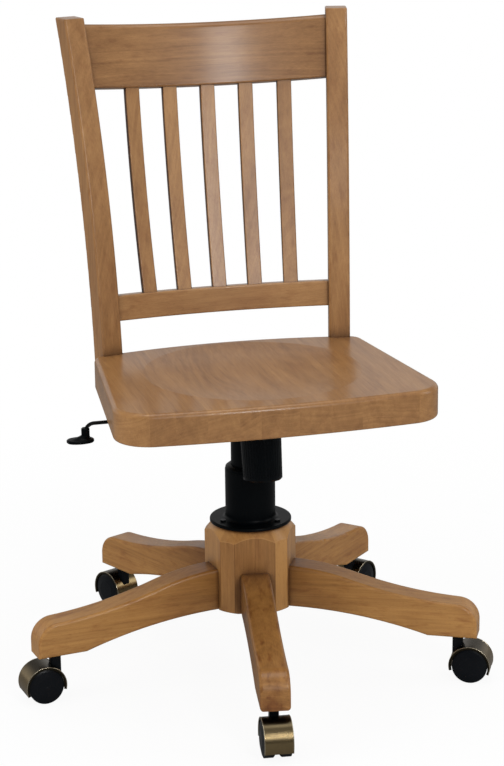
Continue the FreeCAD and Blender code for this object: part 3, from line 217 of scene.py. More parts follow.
def soft_box(name, place, width, height, watts):
    """A rectangular lamp at place whose face looks at the chair's middle."""
    lamp = bpy.data.lights.new(name, "AREA")
    lamp.shape = "RECTANGLE"
    lamp.size = width
    lamp.size_y = height
    lamp.energy = watts
    holder = bpy.data.objects.new(name, lamp)
    holder.location = place
    holder.rotation_euler = (Vector(LAMP_AIM) - Vector(place)).to_track_quat("-Z", "Y").to_euler()
    scene.collection.objects.link(holder)
    return holder


boxes = {name: soft_box(name, *sizes) for name, sizes in SOFT_BOXES.items()}
boxes["left_box"].visible_glossy = False
print("lamps:", list(boxes))

# %% [markdown]
# The floor is a plain pale sheet. To the camera it is mostly its own white, so that the picture has the
# photograph's clean ground. The rest is paper in the chair's light, which keeps a soft shadow near the
# casters, and fades out further away. What the chair's undersides and shiny parts get from it is duller.

# %% Floor
FLOOR_EDGE = 20.0
FLOOR_CORNERS = [(x * FLOOR_EDGE, y * FLOOR_EDGE, 0.0) for x, y in ((-1, -1), (1, -1), (1, 1), (-1, 1))]
FLOOR_TONE = (0.80, 0.80, 0.80)
FLOOR_TONE_IN_MIRRORS = (0.22, 0.22, 0.22)
FLOOR_WHITE_SHARE = 0.92
SHADOW_REACH = (0.45, 1.3)


def finish_of(name, roughness=0.5, **sockets):
    """A material with its Principled shader, whose plain sockets are set by name."""
    material = bpy.data.materials.new(name)
    material.use_nodes = True
    shader = material.node_tree.nodes["Principled BSDF"]
    feed(material.node_tree, shader.inputs["Roughness"], roughness)
    for socket, value in sockets.items():
        feed(material.node_tree, shader.inputs[socket.replace("_", " ")], value)
    return material, material.node_tree, shader


floor_mesh = bpy.data.meshes.new("floor")
floor_mesh.from_pydata(FLOOR_CORNERS, [], [(0, 1, 2, 3)])
floor = bpy.data.objects.new("floor", floor_mesh)
scene.collection.objects.link(floor)
floor_finish, tree, paper = finish_of("pale_floor", roughness=0.9, Specular_IOR_Level=0.0)
rays = add(tree, "LightPath").outputs
paper_tone = blend_colour(tree, rays["Is Glossy Ray"], FLOOR_TONE, FLOOR_TONE_IN_MIRRORS)
feed(tree, paper.inputs["Base Color"], paper_tone)
from_middle = vector_calc(tree, "LENGTH", add(tree, "TexCoord").outputs["Object"])
white_share = rise(tree, from_middle, SHADOW_REACH, low=FLOOR_WHITE_SHARE, kind="SMOOTHSTEP")
mix = add(tree, "MixShader", Fac=calc(tree, "MULTIPLY", white_share, rays["Is Camera Ray"]))
feed(tree, mix.inputs[1], paper.outputs["BSDF"])
feed(tree, mix.inputs[2], add(tree, "Emission", Color=WHITE).outputs["Emission"])
feed(tree, tree.nodes["Material Output"].inputs["Surface"], mix.outputs["Shader"])
floor_mesh.materials.append(floor_finish)
print("floor nodes:", len(tree.nodes))

# %% [markdown]
# The wood is a close-grained hardwood under a golden brown stain and a satin varnish. It is built up as
# a tree is: growth rings lie round a heart that is somewhere beside or below each board, so a sawn face
# shows long lines where it runs with the grain, and arcs on the seat's front edge. Then come soft
# streaks, fine fibres, patches and smudges where the wood took more stain, and small pores. One group
# makes all of that from a vector whose first axis runs along the grain.

# %% Stained wood group
DARK_STAIN = (0.172, 0.076, 0.024)
GOLDEN_STAIN = (0.278, 0.136, 0.048)
LIGHT_STAIN = (0.392, 0.206, 0.077)
PORE_STAIN = (0.070, 0.030, 0.012)
PATCH_TINT = (0.64, 0.50, 0.42)
# A noise's waves in a metre along the grain, its waves across it, and its layers of detail
CLOUDS = (3.0, 11.0, 2.0)
STREAKS = (6.0, 85.0, 2.0)
FIBRES = (22.0, 800.0, 2.0)
PORES = (150.0, 2400.0, 1.0)
BENDS = (1.6, 7.0, 2.0)
PATCHES = (8.0, 22.0, 3.0)
SMUDGES = (34.0, 120.0, 3.0)
# The values of a noise between which a patch, a smudge or a pore sets in
PATCH_EDGE = (0.50, 0.74)
SMUDGE_EDGE = (0.54, 0.72)
PORE_EDGE = (0.64, 0.72)
PORE_DEPTH = 0.40
# How strongly each feature changes the tone
CLOUD_SHARE = 0.75
RING_SHARE = 0.75
STREAK_SHARE = 0.65
FIBRE_SHARE = 0.55
BOARD_SHARE = 0.16
RINGS_IN_A_METRE = 270.0
BEND_WIDTH = 0.05
BOARD_SHIFT = 3.0
# A board's heart lies at the start plus a share of the range, in metres
HEART_START = (0.0, -0.18, -0.12)
HEART_RANGE = (0.0, 0.36, 0.10)
VARNISH_ROUGHNESS = 0.36
FIBRE_SHINE = -0.16
FIBRE_HEIGHT = 0.5
PORE_HEIGHT = 0.4


def new_group(name, inputs, outputs):
    """An empty node group with named sockets; returns it, the sockets that it is given and those of its result."""
    group = bpy.data.node_groups.new(name, "ShaderNodeTree")
    for socket_name, kind, value in inputs:
        socket = group.interface.new_socket(name=socket_name, in_out="INPUT", socket_type=kind)
        if value is not None:
            socket.default_value = value
    for socket_name, kind in outputs:
        group.interface.new_socket(name=socket_name, in_out="OUTPUT", socket_type=kind)
    entry = group.nodes.new("NodeGroupInput")
    leave = group.nodes.new("NodeGroupOutput")
    return group, entry.outputs, leave.inputs


def ramp(tree, factor, stops):
    """A colour ramp through (place, colour) stops."""
    node = add(tree, "ValToRGB", Fac=factor)
    band = node.color_ramp
    while len(band.elements) < len(stops):
        band.elements.new(0.5)
    for element, (place, colour) in zip(band.elements, stops):
        element.position = place
        element.color = colour + (1.0,)
    return node.outputs["Color"]


def centred(group, value, strength):
    """A noise value's distance from its middle, times strength."""
    return calc(group, "MULTIPLY", calc(group, "SUBTRACT", value, 0.5), strength)


def make_wood_group():
    """Rings round a heart of each board's own, streaks, fibres, stain patches of two sizes and pores."""
    group, given, result = new_group(
        "stained_wood",
        [("Grain", "NodeSocketVector", None), ("Board", "NodeSocketFloat", 0.0), ("Tone", "NodeSocketFloat", 0.0),
         ("Figure", "NodeSocketFloat", 1.0), ("Patches", "NodeSocketFloat", 0.5)],
        [("Color", "NodeSocketColor"), ("Roughness", "NodeSocketFloat"), ("Height", "NodeSocketFloat")],
    )
    chance = add(group, "TexWhiteNoise", noise_dimensions="1D", W=given["Board"]).outputs
    shift = vector_calc(group, "SCALE", chance["Color"], Scale=BOARD_SHIFT)
    place = vector_calc(group, "ADD", given["Grain"], shift)

    def stretched(sizes, output="Fac"):
        """Noise on the place times the waves along the grain and, in the other two directions, across it."""
        along, across, detail = sizes
        scaled = vector_calc(group, "MULTIPLY", place, (along, across, across))
        return add(group, "TexNoise", Vector=scaled, Scale=1.0, Detail=detail, Roughness=0.55).outputs[output]

    bend = vector_calc(group, "SCALE", stretched(BENDS, "Color"), Scale=BEND_WIDTH)
    bent = vector_calc(group, "ADD", given["Grain"], bend)
    heart = vector_calc(group, "MULTIPLY_ADD", chance["Color"], HEART_RANGE, HEART_START)
    from_heart = vector_calc(group, "SUBTRACT", bent, heart)
    radius = vector_calc(group, "LENGTH", vector_calc(group, "MULTIPLY", from_heart, (0.0, 1.0, 1.0)))
    ring_place = calc(group, "MULTIPLY_ADD", radius, RINGS_IN_A_METRE, given["Board"])
    rings = add(group, "TexNoise", noise_dimensions="1D", W=ring_place, Scale=1.0, Detail=2.0, Roughness=0.6)
    fibres = stretched(FIBRES)
    figure = calc(group, "MULTIPLY", centred(group, rings.outputs["Fac"], RING_SHARE), given["Figure"])
    tone = calc(group, "ADD", given["Tone"], 0.5)
    for change in (centred(group, stretched(CLOUDS), CLOUD_SHARE), figure,
                   centred(group, stretched(STREAKS), STREAK_SHARE), centred(group, fibres, FIBRE_SHARE),
                   centred(group, chance["Value"], BOARD_SHARE)):
        tone = calc(group, "ADD", tone, change)
    stain = ramp(group, tone, [(0.0, DARK_STAIN), (0.5, GOLDEN_STAIN), (1.0, LIGHT_STAIN)])
    for sizes, edge in ((PATCHES, PATCH_EDGE), (SMUDGES, SMUDGE_EDGE)):
        patches = calc(group, "MULTIPLY", rise(group, stretched(sizes), edge), given["Patches"])
        stain = blend_colour(group, patches, stain, PATCH_TINT, "MULTIPLY")
    pores = rise(group, stretched(PORES), PORE_EDGE)
    stain = blend_colour(group, calc(group, "MULTIPLY", pores, PORE_DEPTH), stain, PORE_STAIN)
    raised = calc(group, "MULTIPLY", fibres, FIBRE_HEIGHT)
    feed(group, result["Color"], stain)
    feed(group, result["Roughness"], calc(group, "ADD", centred(group, fibres, FIBRE_SHINE), VARNISH_ROUGHNESS))
    feed(group, result["Height"], calc(group, "SUBTRACT", raised, calc(group, "MULTIPLY", pores, PORE_HEIGHT)))
    return group


wood_group = make_wood_group()
print("wood group nodes:", len(wood_group.nodes))

# %% [markdown]
# The grain of a real chair runs along each piece: front to back in the seat's glued boards, up the
# posts, slats and hub, along the rails and out along each leg. A Mapping node turns the object's own
# coordinates so that the grain's direction becomes the first axis of the group's vector. Every piece
# was cut from another board, so each one has its own seed and its own tone. Corners where two pieces
# meet get painted shade: the Ambient Occlusion node finds those places, and the colour there is
# multiplied by a dark tint. The slats' sides get painted shade all over. So do the seat's front and rear
# edges, where it stands for end grain that takes the stain darker and for shade as well.

# %% Wood finish
MILLIMETRE = 0.001
QUARTER_TURN = math.pi / 2
# Painted shade: how far the Ambient Occlusion node looks, which openness turns dark, and the dark tint
CORNER_SHADE_REACH = 0.03
CORNER_OPENNESS = (0.85, 0.40)
SIDE_SHADE_TURN = (0.55, 0.85)
PAINTED_SHADE_TINT = (0.22, 0.14, 0.10)
WARM_TINT = (1.0, 0.92, 0.58)


def place_group(tree, group, **values):
    """Places a node group in a material and sets or links its inputs."""
    node = add(tree, "Group", node_tree=group)
    for name, value in values.items():
        feed(tree, node.inputs[name.replace("_", " ")], value)
    return node.outputs


def cover(tree, shader, colour, roughness, height, strength, depth):
    """Gives a shader its colour and roughness, and a bump of a strength and a depth from a height."""
    bump = add(tree, "Bump", Strength=strength, Distance=depth, Height=height).outputs["Normal"]
    for name, value in (("Base Color", colour), ("Roughness", roughness), ("Normal", bump)):
        feed(tree, shader.inputs[name], value)


def wood_finish(name, turn_to_grain, board=None, seed=0.0, tone=0.0, figure=0.6, patches=0.4, side="X",
                painted_side_shade=0.0, warmth=0.0, coat=0.34):
    """Stained wood turned by three angles; board makes a board's number; tone is a number or makes one."""
    material, tree, shader = finish_of("wood_" + name, Specular_IOR_Level=0.35, Coat_Weight=coat,
                                       Coat_Roughness=0.17)
    here = add(tree, "TexCoord").outputs
    grain = add(tree, "Mapping", Vector=here["Object"], Rotation=turn_to_grain).outputs["Vector"]
    number = calc(tree, "ADD", board(tree, here["Object"]), seed) if board else seed
    board_tone = tone(tree, here["Object"]) if callable(tone) else tone
    wood = place_group(tree, wood_group, Grain=grain, Board=number, Tone=board_tone, Figure=figure,
                       Patches=patches)
    # Painted shade: places that the Ambient Occlusion node finds closed in are multiplied by the dark tint
    openness = add(tree, "AmbientOcclusion", samples=6, Distance=CORNER_SHADE_REACH).outputs["AO"]
    corner = rise(tree, openness, CORNER_OPENNESS)
    stain = blend_colour(tree, corner, wood["Color"], PAINTED_SHADE_TINT, "MULTIPLY")
    stain = blend_colour(tree, warmth, stain, WARM_TINT, "MULTIPLY")
    # Painted shade on faces turned along the side axis; on the seat it also stands for end grain that takes stain
    # darker
    if painted_side_shade:
        sideways = calc(tree, "ABSOLUTE", axis_of(tree, here["Normal"], side))
        darker = rise(tree, sideways, SIDE_SHADE_TURN, high=painted_side_shade)
        stain = blend_colour(tree, darker, stain, PAINTED_SHADE_TINT, "MULTIPLY")
    cover(tree, shader, stain, wood["Roughness"], wood["Height"], strength=0.12, depth=0.3 * MILLIMETRE)
    return material


# The darkening in corners is painted shade
print("corner stain reaches: %.0f mm" % (CORNER_SHADE_REACH / MILLIMETRE))

# %% [markdown]
# The seat is glued up from boards of uneven widths, whose joints show on its front edge. Counting how
# many joints lie to the left of a point gives its board's number. The hub is glued up from ten staves,
# five wide ones that carry the legs and five narrow ones between them; its top was turned on a lathe,
# which cuts an arch into every wide side. The angle round the column tells the staves and their tones
# apart, with a dark glue line at each joint. The tones are partly painted light: staves at the hub's
# sides are lighter where they catch light and reflection. The turned end grain above the arch is
# painted paler as a sheen, and a pale line along the arch is a painted highlight.

# %% Glued boards
SEAT_JOINTS = (-0.186, -0.152, -0.110, -0.067, -0.038, 0.014, 0.058, 0.102, 0.146, 0.184)
FRONT_LEG_ANGLE = math.radians(-99.7)
WIDE_STAVE_HALF = math.radians(25.74)
HUB_TURN = math.tau / 5
# Each stave's own tone plus painted light: the staves at the hub's sides are painted lighter
WIDE_STAVE_TONES_AND_LIGHT = (-0.08, 0.16, -0.06, 0.05, 0.26)
NARROW_STAVE_TONES_AND_LIGHT = (0.42, 0.14, 0.24, -0.04, -0.06)
GLUE_LINE_HALF = math.radians(0.45)
ARCH_TOP = 211.0 * MILLIMETRE
WIDE_SIDE = 59.5 * MILLIMETRE
CONE_SLOPE = 0.82
# Painted sheen on the turned top, and a painted highlight line along the arch's edge
PAINTED_TURNED_SHEEN = 0.34
CREASE_START = 0.15 * MILLIMETRE
CREASE_HALF = 0.35 * MILLIMETRE
PAINTED_CREASE_HIGHLIGHT = 0.7
LINE_TONE = -0.7


def seat_boards(tree, here):
    """The count of joints left of a point: one Greater Than node for each joint, added up."""
    across = axis_of(tree, here, "X")
    count = calc(tree, "GREATER_THAN", across, SEAT_JOINTS[0])
    for joint in SEAT_JOINTS[1:]:
        count = calc(tree, "ADD", count, calc(tree, "GREATER_THAN", across, joint))
    return count


def hub_angle(tree, here):
    """The angle round the column from the left edge of the front leg's wide stave, from zero to a full turn."""
    angle = calc(tree, "ARCTAN2", axis_of(tree, here, "Y"), axis_of(tree, here, "X"))
    return calc(tree, "FLOORED_MODULO", calc(tree, "ADD", angle, WIDE_STAVE_HALF - FRONT_LEG_ANGLE), math.tau)


def hub_staves(tree, here):
    """The stave's number: two for each leg, the second one from the wide stave's right edge on."""
    angle = hub_angle(tree, here)
    leg = calc(tree, "FLOOR", calc(tree, "DIVIDE", angle, HUB_TURN))
    narrow = calc(tree, "GREATER_THAN", calc(tree, "MODULO", angle, HUB_TURN), 2.0 * WIDE_STAVE_HALF)
    return calc(tree, "MULTIPLY_ADD", leg, 2.0, narrow)


def from_column(tree, here):
    """Distance from the column's axis: the length of the point's vector without its height."""
    return vector_calc(tree, "LENGTH", vector_calc(tree, "MULTIPLY", here, (1.0, 1.0, 0.0)))


def beyond_cone(tree, here):
    """Distance from the column's axis less the radius of a cone that narrows upwards, in metres."""
    cone = calc(tree, "MULTIPLY_ADD", axis_of(tree, here, "Z"), -CONE_SLOPE, WIDE_SIDE + CONE_SLOPE * ARCH_TOP)
    return calc(tree, "SUBTRACT", from_column(tree, here), cone)


def hub_tones(tree, here):
    """Each stave's tone with its painted light, picked by comparing its number, plus a painted sheen on the turned
    top and a painted highlight along the arch, less a dark line where two staves meet.
    """
    number = hub_staves(tree, here)
    tone = 0.0
    for stave in range(2 * len(WIDE_STAVE_TONES_AND_LIGHT)):
        tones = NARROW_STAVE_TONES_AND_LIGHT if stave % 2 else WIDE_STAVE_TONES_AND_LIGHT
        is_here = calc(tree, "COMPARE", number, float(stave), 0.5)
        tone = calc(tree, "MULTIPLY_ADD", is_here, tones[stave // 2], tone)
    # Painted sheen on the turned part and a painted highlight along the arch's edge
    outside = beyond_cone(tree, here)
    turned = calc(tree, "GREATER_THAN", outside, -CREASE_START)
    crease_highlight = calc(tree, "COMPARE", outside, -CREASE_START - CREASE_HALF, CREASE_HALF)
    tone = calc(tree, "MULTIPLY_ADD", turned, PAINTED_TURNED_SHEEN, calc(tree, "MULTIPLY_ADD", crease_highlight, PAINTED_CREASE_HIGHLIGHT, tone))
    around = calc(tree, "MODULO", hub_angle(tree, here), HUB_TURN)
    at_left = calc(tree, "PINGPONG", around, HUB_TURN / 2.0)
    at_right = calc(tree, "ABSOLUTE", calc(tree, "SUBTRACT", around, 2.0 * WIDE_STAVE_HALF))
    line = calc(tree, "LESS_THAN", calc(tree, "MINIMUM", at_left, at_right), GLUE_LINE_HALF)
    line = calc(tree, "MULTIPLY", line, calc(tree, "SUBTRACT", 1.0, turned))
    return calc(tree, "MULTIPLY_ADD", line, LINE_TONE, tone)


print("seat boards:", len(SEAT_JOINTS) + 1, "hub staves:", len(WIDE_STAVE_TONES_AND_LIGHT) + len(NARROW_STAVE_TONES_AND_LIGHT))

# %% [markdown]
# Now each wooden piece gets its own finish. The tones follow the photograph: the lower parts are a shade
# darker and redder than the back, and the front leg is the darkest and most flecked. Each leg's tone
# also falls towards the hub: painted shade, where the seat and the hub keep the light off.

# %% Wooden pieces
ALONG_X = (0.0, 0.0, 0.0)
ALONG_Y = (0.0, 0.0, -QUARTER_TURN)
UPRIGHT = (0.0, QUARTER_TURN, 0.0)
SEAT_SEED, BACK_SEED, RAIL_SEED, HUB_SEED, LEG_SEED = 3.0, 11.3, 31.7, 41.0, 51.2
BACK_TONES = {"post_left": 0.08, "post_right": 0.04, "slat_1": 0.16, "slat_2": 0.14, "slat_3": 0.05,
              "slat_4": 0.0, "slat_5": 0.06}
RAIL_TONES = {"crest_rail": -0.26, "lower_rail": 0.30}
LEG_TONES = {"leg_front": -0.10, "leg_right": 0.26, "leg_rear_right": 0.22, "leg_rear_left": 0.18,
             "leg_left": 0.40}
# Painted shade near the hub: where it starts, in metres from the column, and how far it lowers the tone
HUB_SHADE_START = 0.06
HUB_SHADE_DEPTH = -0.42
FRONT_LEG_PATCHES_AND_SHADE = (1.0, 0.34)  # strength of the patches, and how far out the painted shade near the hub reaches
OTHER_LEG_PATCHES_AND_SHADE = (0.6, 0.19)


def dress(node_names, material):
    """Gives whole CAD nodes one material."""
    for name in node_names:
        mesh = nodes[name].data
        mesh.materials.clear()
        mesh.materials.append(material)


def leg_tone(base, hub_shade_end):
    """A function that makes a leg's tone: its base, and painted shade, darker the nearer a point is to the hub."""
    def tone(tree, here):
        # Painted shade towards the hub
        near = rise(tree, from_column(tree, here), (hub_shade_end, HUB_SHADE_START), high=HUB_SHADE_DEPTH, kind="SMOOTHSTEP")
        return calc(tree, "ADD", near, base)
    return tone


dress(["seat"], wood_finish("seat", ALONG_Y, seat_boards, seed=SEAT_SEED, tone=-0.03, patches=0.3, side="Y",
                            painted_side_shade=0.09, warmth=0.2))
for number, (name, tone) in enumerate(BACK_TONES.items()):
    # The slats' sides get painted shade
    painted_side_shade = 1.0 if name.startswith("slat") else 0.0
    dress([name], wood_finish(name, UPRIGHT, seed=BACK_SEED + number, tone=tone, painted_side_shade=painted_side_shade))
for number, (name, tone) in enumerate(RAIL_TONES.items()):
    dress([name], wood_finish(name, ALONG_X, seed=RAIL_SEED + number, tone=tone))
hub_finish = wood_finish("hub", UPRIGHT, hub_staves, seed=HUB_SEED, tone=hub_tones, warmth=0.5, coat=0.22)
dress(["hub"], hub_finish)
for number, (name, tone) in enumerate(LEG_TONES.items()):
    angle = FRONT_LEG_ANGLE + number * HUB_TURN
    patches, hub_shade_end = FRONT_LEG_PATCHES_AND_SHADE if name == "leg_front" else OTHER_LEG_PATCHES_AND_SHADE
    dress([name], wood_finish(name, (0.0, 0.0, -angle), seed=LEG_SEED + number, tone=leg_tone(tone, hub_shade_end),
                              figure=0.8, patches=patches, warmth=0.7, coat=0.12))
print("wood finishes:", len([finish for finish in bpy.data.materials if finish.name.startswith("wood_")]))

# %% [markdown]
# The column covers, the knob and the lever's paddle are black moulded plastic with a fine grain, and
# the mechanism is pressed steel under black paint. Its plain steel pieces are plated or blackened. All
# come from one group: a very fine noise for the grain and a slow one for the handling marks, at their
# own strengths.

# %% Moulded, painted and plated pieces


def make_grain_group():
    """Fine grain as height, and a slow cloud that changes tone and shine."""
    group, given, result = new_group(
        "fine_grain",
        [("Grain Scale", "NodeSocketFloat", 1200.0), ("Cloud Scale", "NodeSocketFloat", 20.0),
         ("Dark", "NodeSocketColor", (0.01, 0.01, 0.01, 1.0)),
         ("Light", "NodeSocketColor", (0.02, 0.02, 0.02, 1.0)),
         ("Smooth", "NodeSocketFloat", 0.3), ("Rough", "NodeSocketFloat", 0.45)],
        [("Color", "NodeSocketColor"), ("Roughness", "NodeSocketFloat"), ("Height", "NodeSocketFloat")],
    )
    here = add(group, "TexCoord").outputs["Object"]
    grain = add(group, "TexNoise", Vector=here, Scale=given["Grain Scale"], Detail=2.0).outputs["Fac"]
    cloud = add(group, "TexNoise", Vector=here, Scale=given["Cloud Scale"], Detail=3.0).outputs["Fac"]
    span = calc(group, "SUBTRACT", given["Rough"], given["Smooth"])
    feed(group, result["Color"], blend_colour(group, cloud, given["Dark"], given["Light"]))
    feed(group, result["Roughness"], calc(group, "MULTIPLY_ADD", cloud, span, given["Smooth"]))
    feed(group, result["Height"], grain)
    return group


grain_group = make_grain_group()


def grained_finish(name, dark, light, smooth, rough, scale, strength, **sockets):
    """A finish from the fine-grain group, with its own colours, shine, and scale and strength of grain."""
    material, tree, shader = finish_of(name, **sockets)
    grain = place_group(tree, grain_group, Grain_Scale=scale, Dark=dark, Light=light, Smooth=smooth, Rough=rough)
    cover(tree, shader, grain["Color"], grain["Roughness"], grain["Height"], strength, depth=0.2 * MILLIMETRE)
    return material


black_plastic = grained_finish("black_plastic", (0.0004, 0.0010, 0.0014), (0.0012, 0.0022, 0.0030),
                               smooth=0.30, rough=0.42, scale=1400.0, strength=0.15, Specular_IOR_Level=0.09)
knob_plastic = grained_finish("knob_plastic", (0.0004, 0.0010, 0.0016), (0.0012, 0.0024, 0.0034),
                              smooth=0.20, rough=0.28, scale=1400.0, strength=0.08, Specular_IOR_Level=0.16)
black_paint = grained_finish("black_paint", (0.0020, 0.0022, 0.0025), (0.0050, 0.0052, 0.0056),
                             smooth=0.24, rough=0.36, scale=500.0, strength=0.10, Specular_IOR_Level=0.2)
caster_nylon = grained_finish("caster_nylon", (0.0015, 0.0022, 0.0035), (0.0040, 0.0052, 0.0075),
                              smooth=0.26, rough=0.38, scale=900.0, strength=0.08, Specular_IOR_Level=0.2)
guide_nylon = grained_finish("guide_nylon", (0.60, 0.59, 0.54), (0.72, 0.71, 0.66),
                             smooth=0.35, rough=0.5, scale=900.0, strength=0.1)
zinc = grained_finish("zinc_plate", (0.48, 0.48, 0.49), (0.66, 0.66, 0.66),
                      smooth=0.25, rough=0.42, scale=300.0, strength=0.08, Metallic=1.0)
black_oxide = grained_finish("black_oxide", (0.02, 0.02, 0.022), (0.05, 0.05, 0.052),
                             smooth=0.3, rough=0.5, scale=400.0, strength=0.1, Metallic=1.0)

dress(["cover_lower", "cover_middle", "cover_upper", "lever_paddle"], black_plastic)
dress(["tension_knob"], knob_plastic)
dress(["seat_plate", "tilt_housing", "height_lever"], black_paint)
dress(["guide_bush"], guide_nylon)
dress(["post_bolts", "seat_screws", "pivot_pins", "leg_bolts", "caster_sockets", "piston_rod", "thrust_bearing",
       "release_pin", "tension_bolt"], zinc)
dress(["tension_spring", "spring_cup", "hub_sleeve", "pressure_tube", "stand_tube", "cover_screws"], black_oxide)
print("materials so far:", len(bpy.data.materials))

# %% [markdown]
# Each caster has a hood of pressed metal with a darkened brass plating, over two nylon wheels. The stain
# in the plating gathers in clouds. The hood's upward face is painted nearly black as a dark reflection
# of the leg above it, and the lips at both ends of the axle are painted nearly black as shade. The
# shader tells those places by the way the surface faces, so each caster has a material that knows the
# direction of its own axle.

# %% Antique brass
CASTER_NAMES = ["caster_front", "caster_right", "caster_rear_right", "caster_rear_left", "caster_left"]
SHADE_AND_REFLECTION_BLACK = (0.030, 0.026, 0.018)
STAINED_BRASS = (0.24, 0.172, 0.085)
RUBBED_BRASS = (0.36, 0.272, 0.140)
# How far a face has to turn upward, or along the axle, for the painted black to set in (a dark reflection on top,
# shade on the lips), and how black it gets
TOP_TURN, TOP_REFLECTION_DARKNESS = (0.50, 0.90), 0.85
LIP_TURN, LIP_SHADE_DARKNESS = (0.5, 0.8), 0.95
STAIN_CLOUD_SCALE = 45.0
SCRATCH_SCALE = 900.0
BRASS_ROUGHNESS = 0.31
CLOUD_SHINE = -0.10


def brass_finish(name, stained, bright, axle=None):
    """Metal whose tone drifts from stained to bright; with an axle, its top gets a painted dark reflection and its
    lips painted shade.
    """
    material, tree, shader = finish_of(name, Metallic=1.0)
    here = add(tree, "TexCoord").outputs
    cloud = add(tree, "TexNoise", Vector=here["Object"], Scale=STAIN_CLOUD_SCALE, Detail=4.0,
                Roughness=0.6).outputs["Fac"]
    scratch = add(tree, "TexNoise", Vector=here["Object"], Scale=SCRATCH_SCALE, Detail=1.0).outputs["Fac"]
    tone = blend_colour(tree, cloud, stained, bright)
    if axle:
        along_axle = calc(tree, "ABSOLUTE", vector_calc(tree, "DOT_PRODUCT", here["Normal"], axle))
        # Painted dark reflection on upward faces, painted shade on the lips at the axle's ends
        top = rise(tree, axis_of(tree, here["Normal"], "Z"), TOP_TURN, high=TOP_REFLECTION_DARKNESS)
        lip = rise(tree, along_axle, LIP_TURN, high=LIP_SHADE_DARKNESS)
        tone = blend_colour(tree, calc(tree, "MAXIMUM", top, lip), tone, SHADE_AND_REFLECTION_BLACK)
    roughness = calc(tree, "MULTIPLY_ADD", cloud, CLOUD_SHINE, BRASS_ROUGHNESS)
    cover(tree, shader, tone, roughness, scratch, strength=0.02, depth=0.02 * MILLIMETRE)
    return material


def wheel_middles(caster):
    """The middles of the boxes of a caster's two wheels."""
    return [np.array([tuple(corner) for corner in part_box(caster + wheel)]).mean(axis=0)
            for wheel in ("_wheel_a", "_wheel_b")]


def axle_of(caster):
    """The level unit vector along a caster's axle: one wheel's middle less the other's, over its length."""
    first, second = wheel_middles(caster)
    along = (first - second) * (1.0, 1.0, 0.0)
    return tuple(float(part) for part in along / np.linalg.norm(along))


for name in CASTER_NAMES:
    dress([name + "_hood"], brass_finish("antique_brass_" + name, STAINED_BRASS, RUBBED_BRASS, axle_of(name)))
dress([name + part for name in CASTER_NAMES for part in ("_body", "_wheel_a", "_wheel_b")], caster_nylon)
print("axles:", {name: [round(part, 3) for part in axle_of(name)] for name in CASTER_NAMES})

# %% [markdown]
# A pressed hood has its side edges rolled over into a thin bead, which catches the light as a bright
# line. Its brass is painted much lighter than the hood's, as a painted highlight. A bead is a fine tube
# along an arc: every point is a centre on the hood's edge circle plus a small circle, turned with the
# hood. The places come from the boxes of the caster's two wheels.

# %% Rolled hood edges
HOOD_RADIUS = 29.0 * MILLIMETRE
HOOD_HALF_WIDTH = 19.1 * MILLIMETRE
WHEEL_AXLE_HEIGHT = 25.0 * MILLIMETRE
BEAD_RADIUS = 0.6 * MILLIMETRE
BEAD_ANGLES = (math.radians(-22.0), math.radians(195.0))
BEAD_STEPS = 64
BEAD_SIDES = 8
# The beads' brass is painted much lighter than the hood's: a painted highlight
HIGHLIGHT_BRASS = ((0.56, 0.48, 0.34), (0.74, 0.66, 0.50))
UP = np.array((0.0, 0.0, 1.0))


def bead_points(centre, outward, side):
    """Hood arc of HOOD_RADIUS round centre plus a circle of BEAD_RADIUS; outward is 0 degrees, up is 90."""
    along = np.linspace(*BEAD_ANGLES, BEAD_STEPS)[:, None, None]
    round_it = np.linspace(0.0, math.tau, BEAD_SIDES, endpoint=False)[None, :, None]
    radial = np.cos(along) * outward + np.sin(along) * UP
    offset = BEAD_RADIUS * (np.cos(round_it) * radial + np.sin(round_it) * side)
    return centre + HOOD_RADIUS * radial + offset


def tube_faces(steps, sides, first):
    """Quads between neighbouring rings, and one cap at each end; first is the index of the first point."""
    ring, spoke = np.meshgrid(np.arange(steps - 1), np.arange(sides), indexing="ij")
    start, after = ring * sides, (spoke + 1) % sides
    quads = np.stack([start + spoke, start + sides + spoke, start + sides + after, start + after], -1)
    caps = [list(first + np.arange(sides)), list(first + (steps - 1) * sides + np.arange(sides)[::-1])]
    return (quads.reshape(-1, 4) + first).tolist() + caps


def hood_beads(caster):
    """Both beads of one hood as closed tubes that turn with the caster; outward points away from the column."""
    centre = np.mean(wheel_middles(caster), axis=0)
    centre[2] = WHEEL_AXLE_HEIGHT
    outward = np.cross(axle_of(caster), UP)
    outward = outward * np.sign(outward @ centre)
    side = np.cross(outward, UP)
    points, faces = [], []
    for edge_side in (-side, side):
        faces += tube_faces(BEAD_STEPS, BEAD_SIDES, len(points) * BEAD_STEPS * BEAD_SIDES)
        points.append(bead_points(centre + HOOD_HALF_WIDTH * edge_side, outward, side).reshape(-1, 3))
    mesh = bpy.data.meshes.new(caster + "_hood_beads")
    mesh.from_pydata(np.concatenate(points).tolist(), [], faces)
    mesh.materials.append(highlight_brass)
    mesh.shade_smooth()
    piece = bpy.data.objects.new(caster + "_hood_beads", mesh)
    scene.collection.objects.link(piece)
    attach(piece, caster)
    return piece


highlight_brass = brass_finish("highlight_brass", *HIGHLIGHT_BRASS)
beads = [hood_beads(name) for name in CASTER_NAMES]
print("beads:", [(bead.name, len(bead.data.polygons)) for bead in beads])

# %% [markdown]
# The tension spring is wound wire between the seat's mechanism and the knob's cup. On the real chair,
# when the seat tilts, the bolt pulls the cup up and the spring gets shorter. Here the coil is a copy of
# the solid's with a mesh of its own; it moves with the lift and keeps its length.

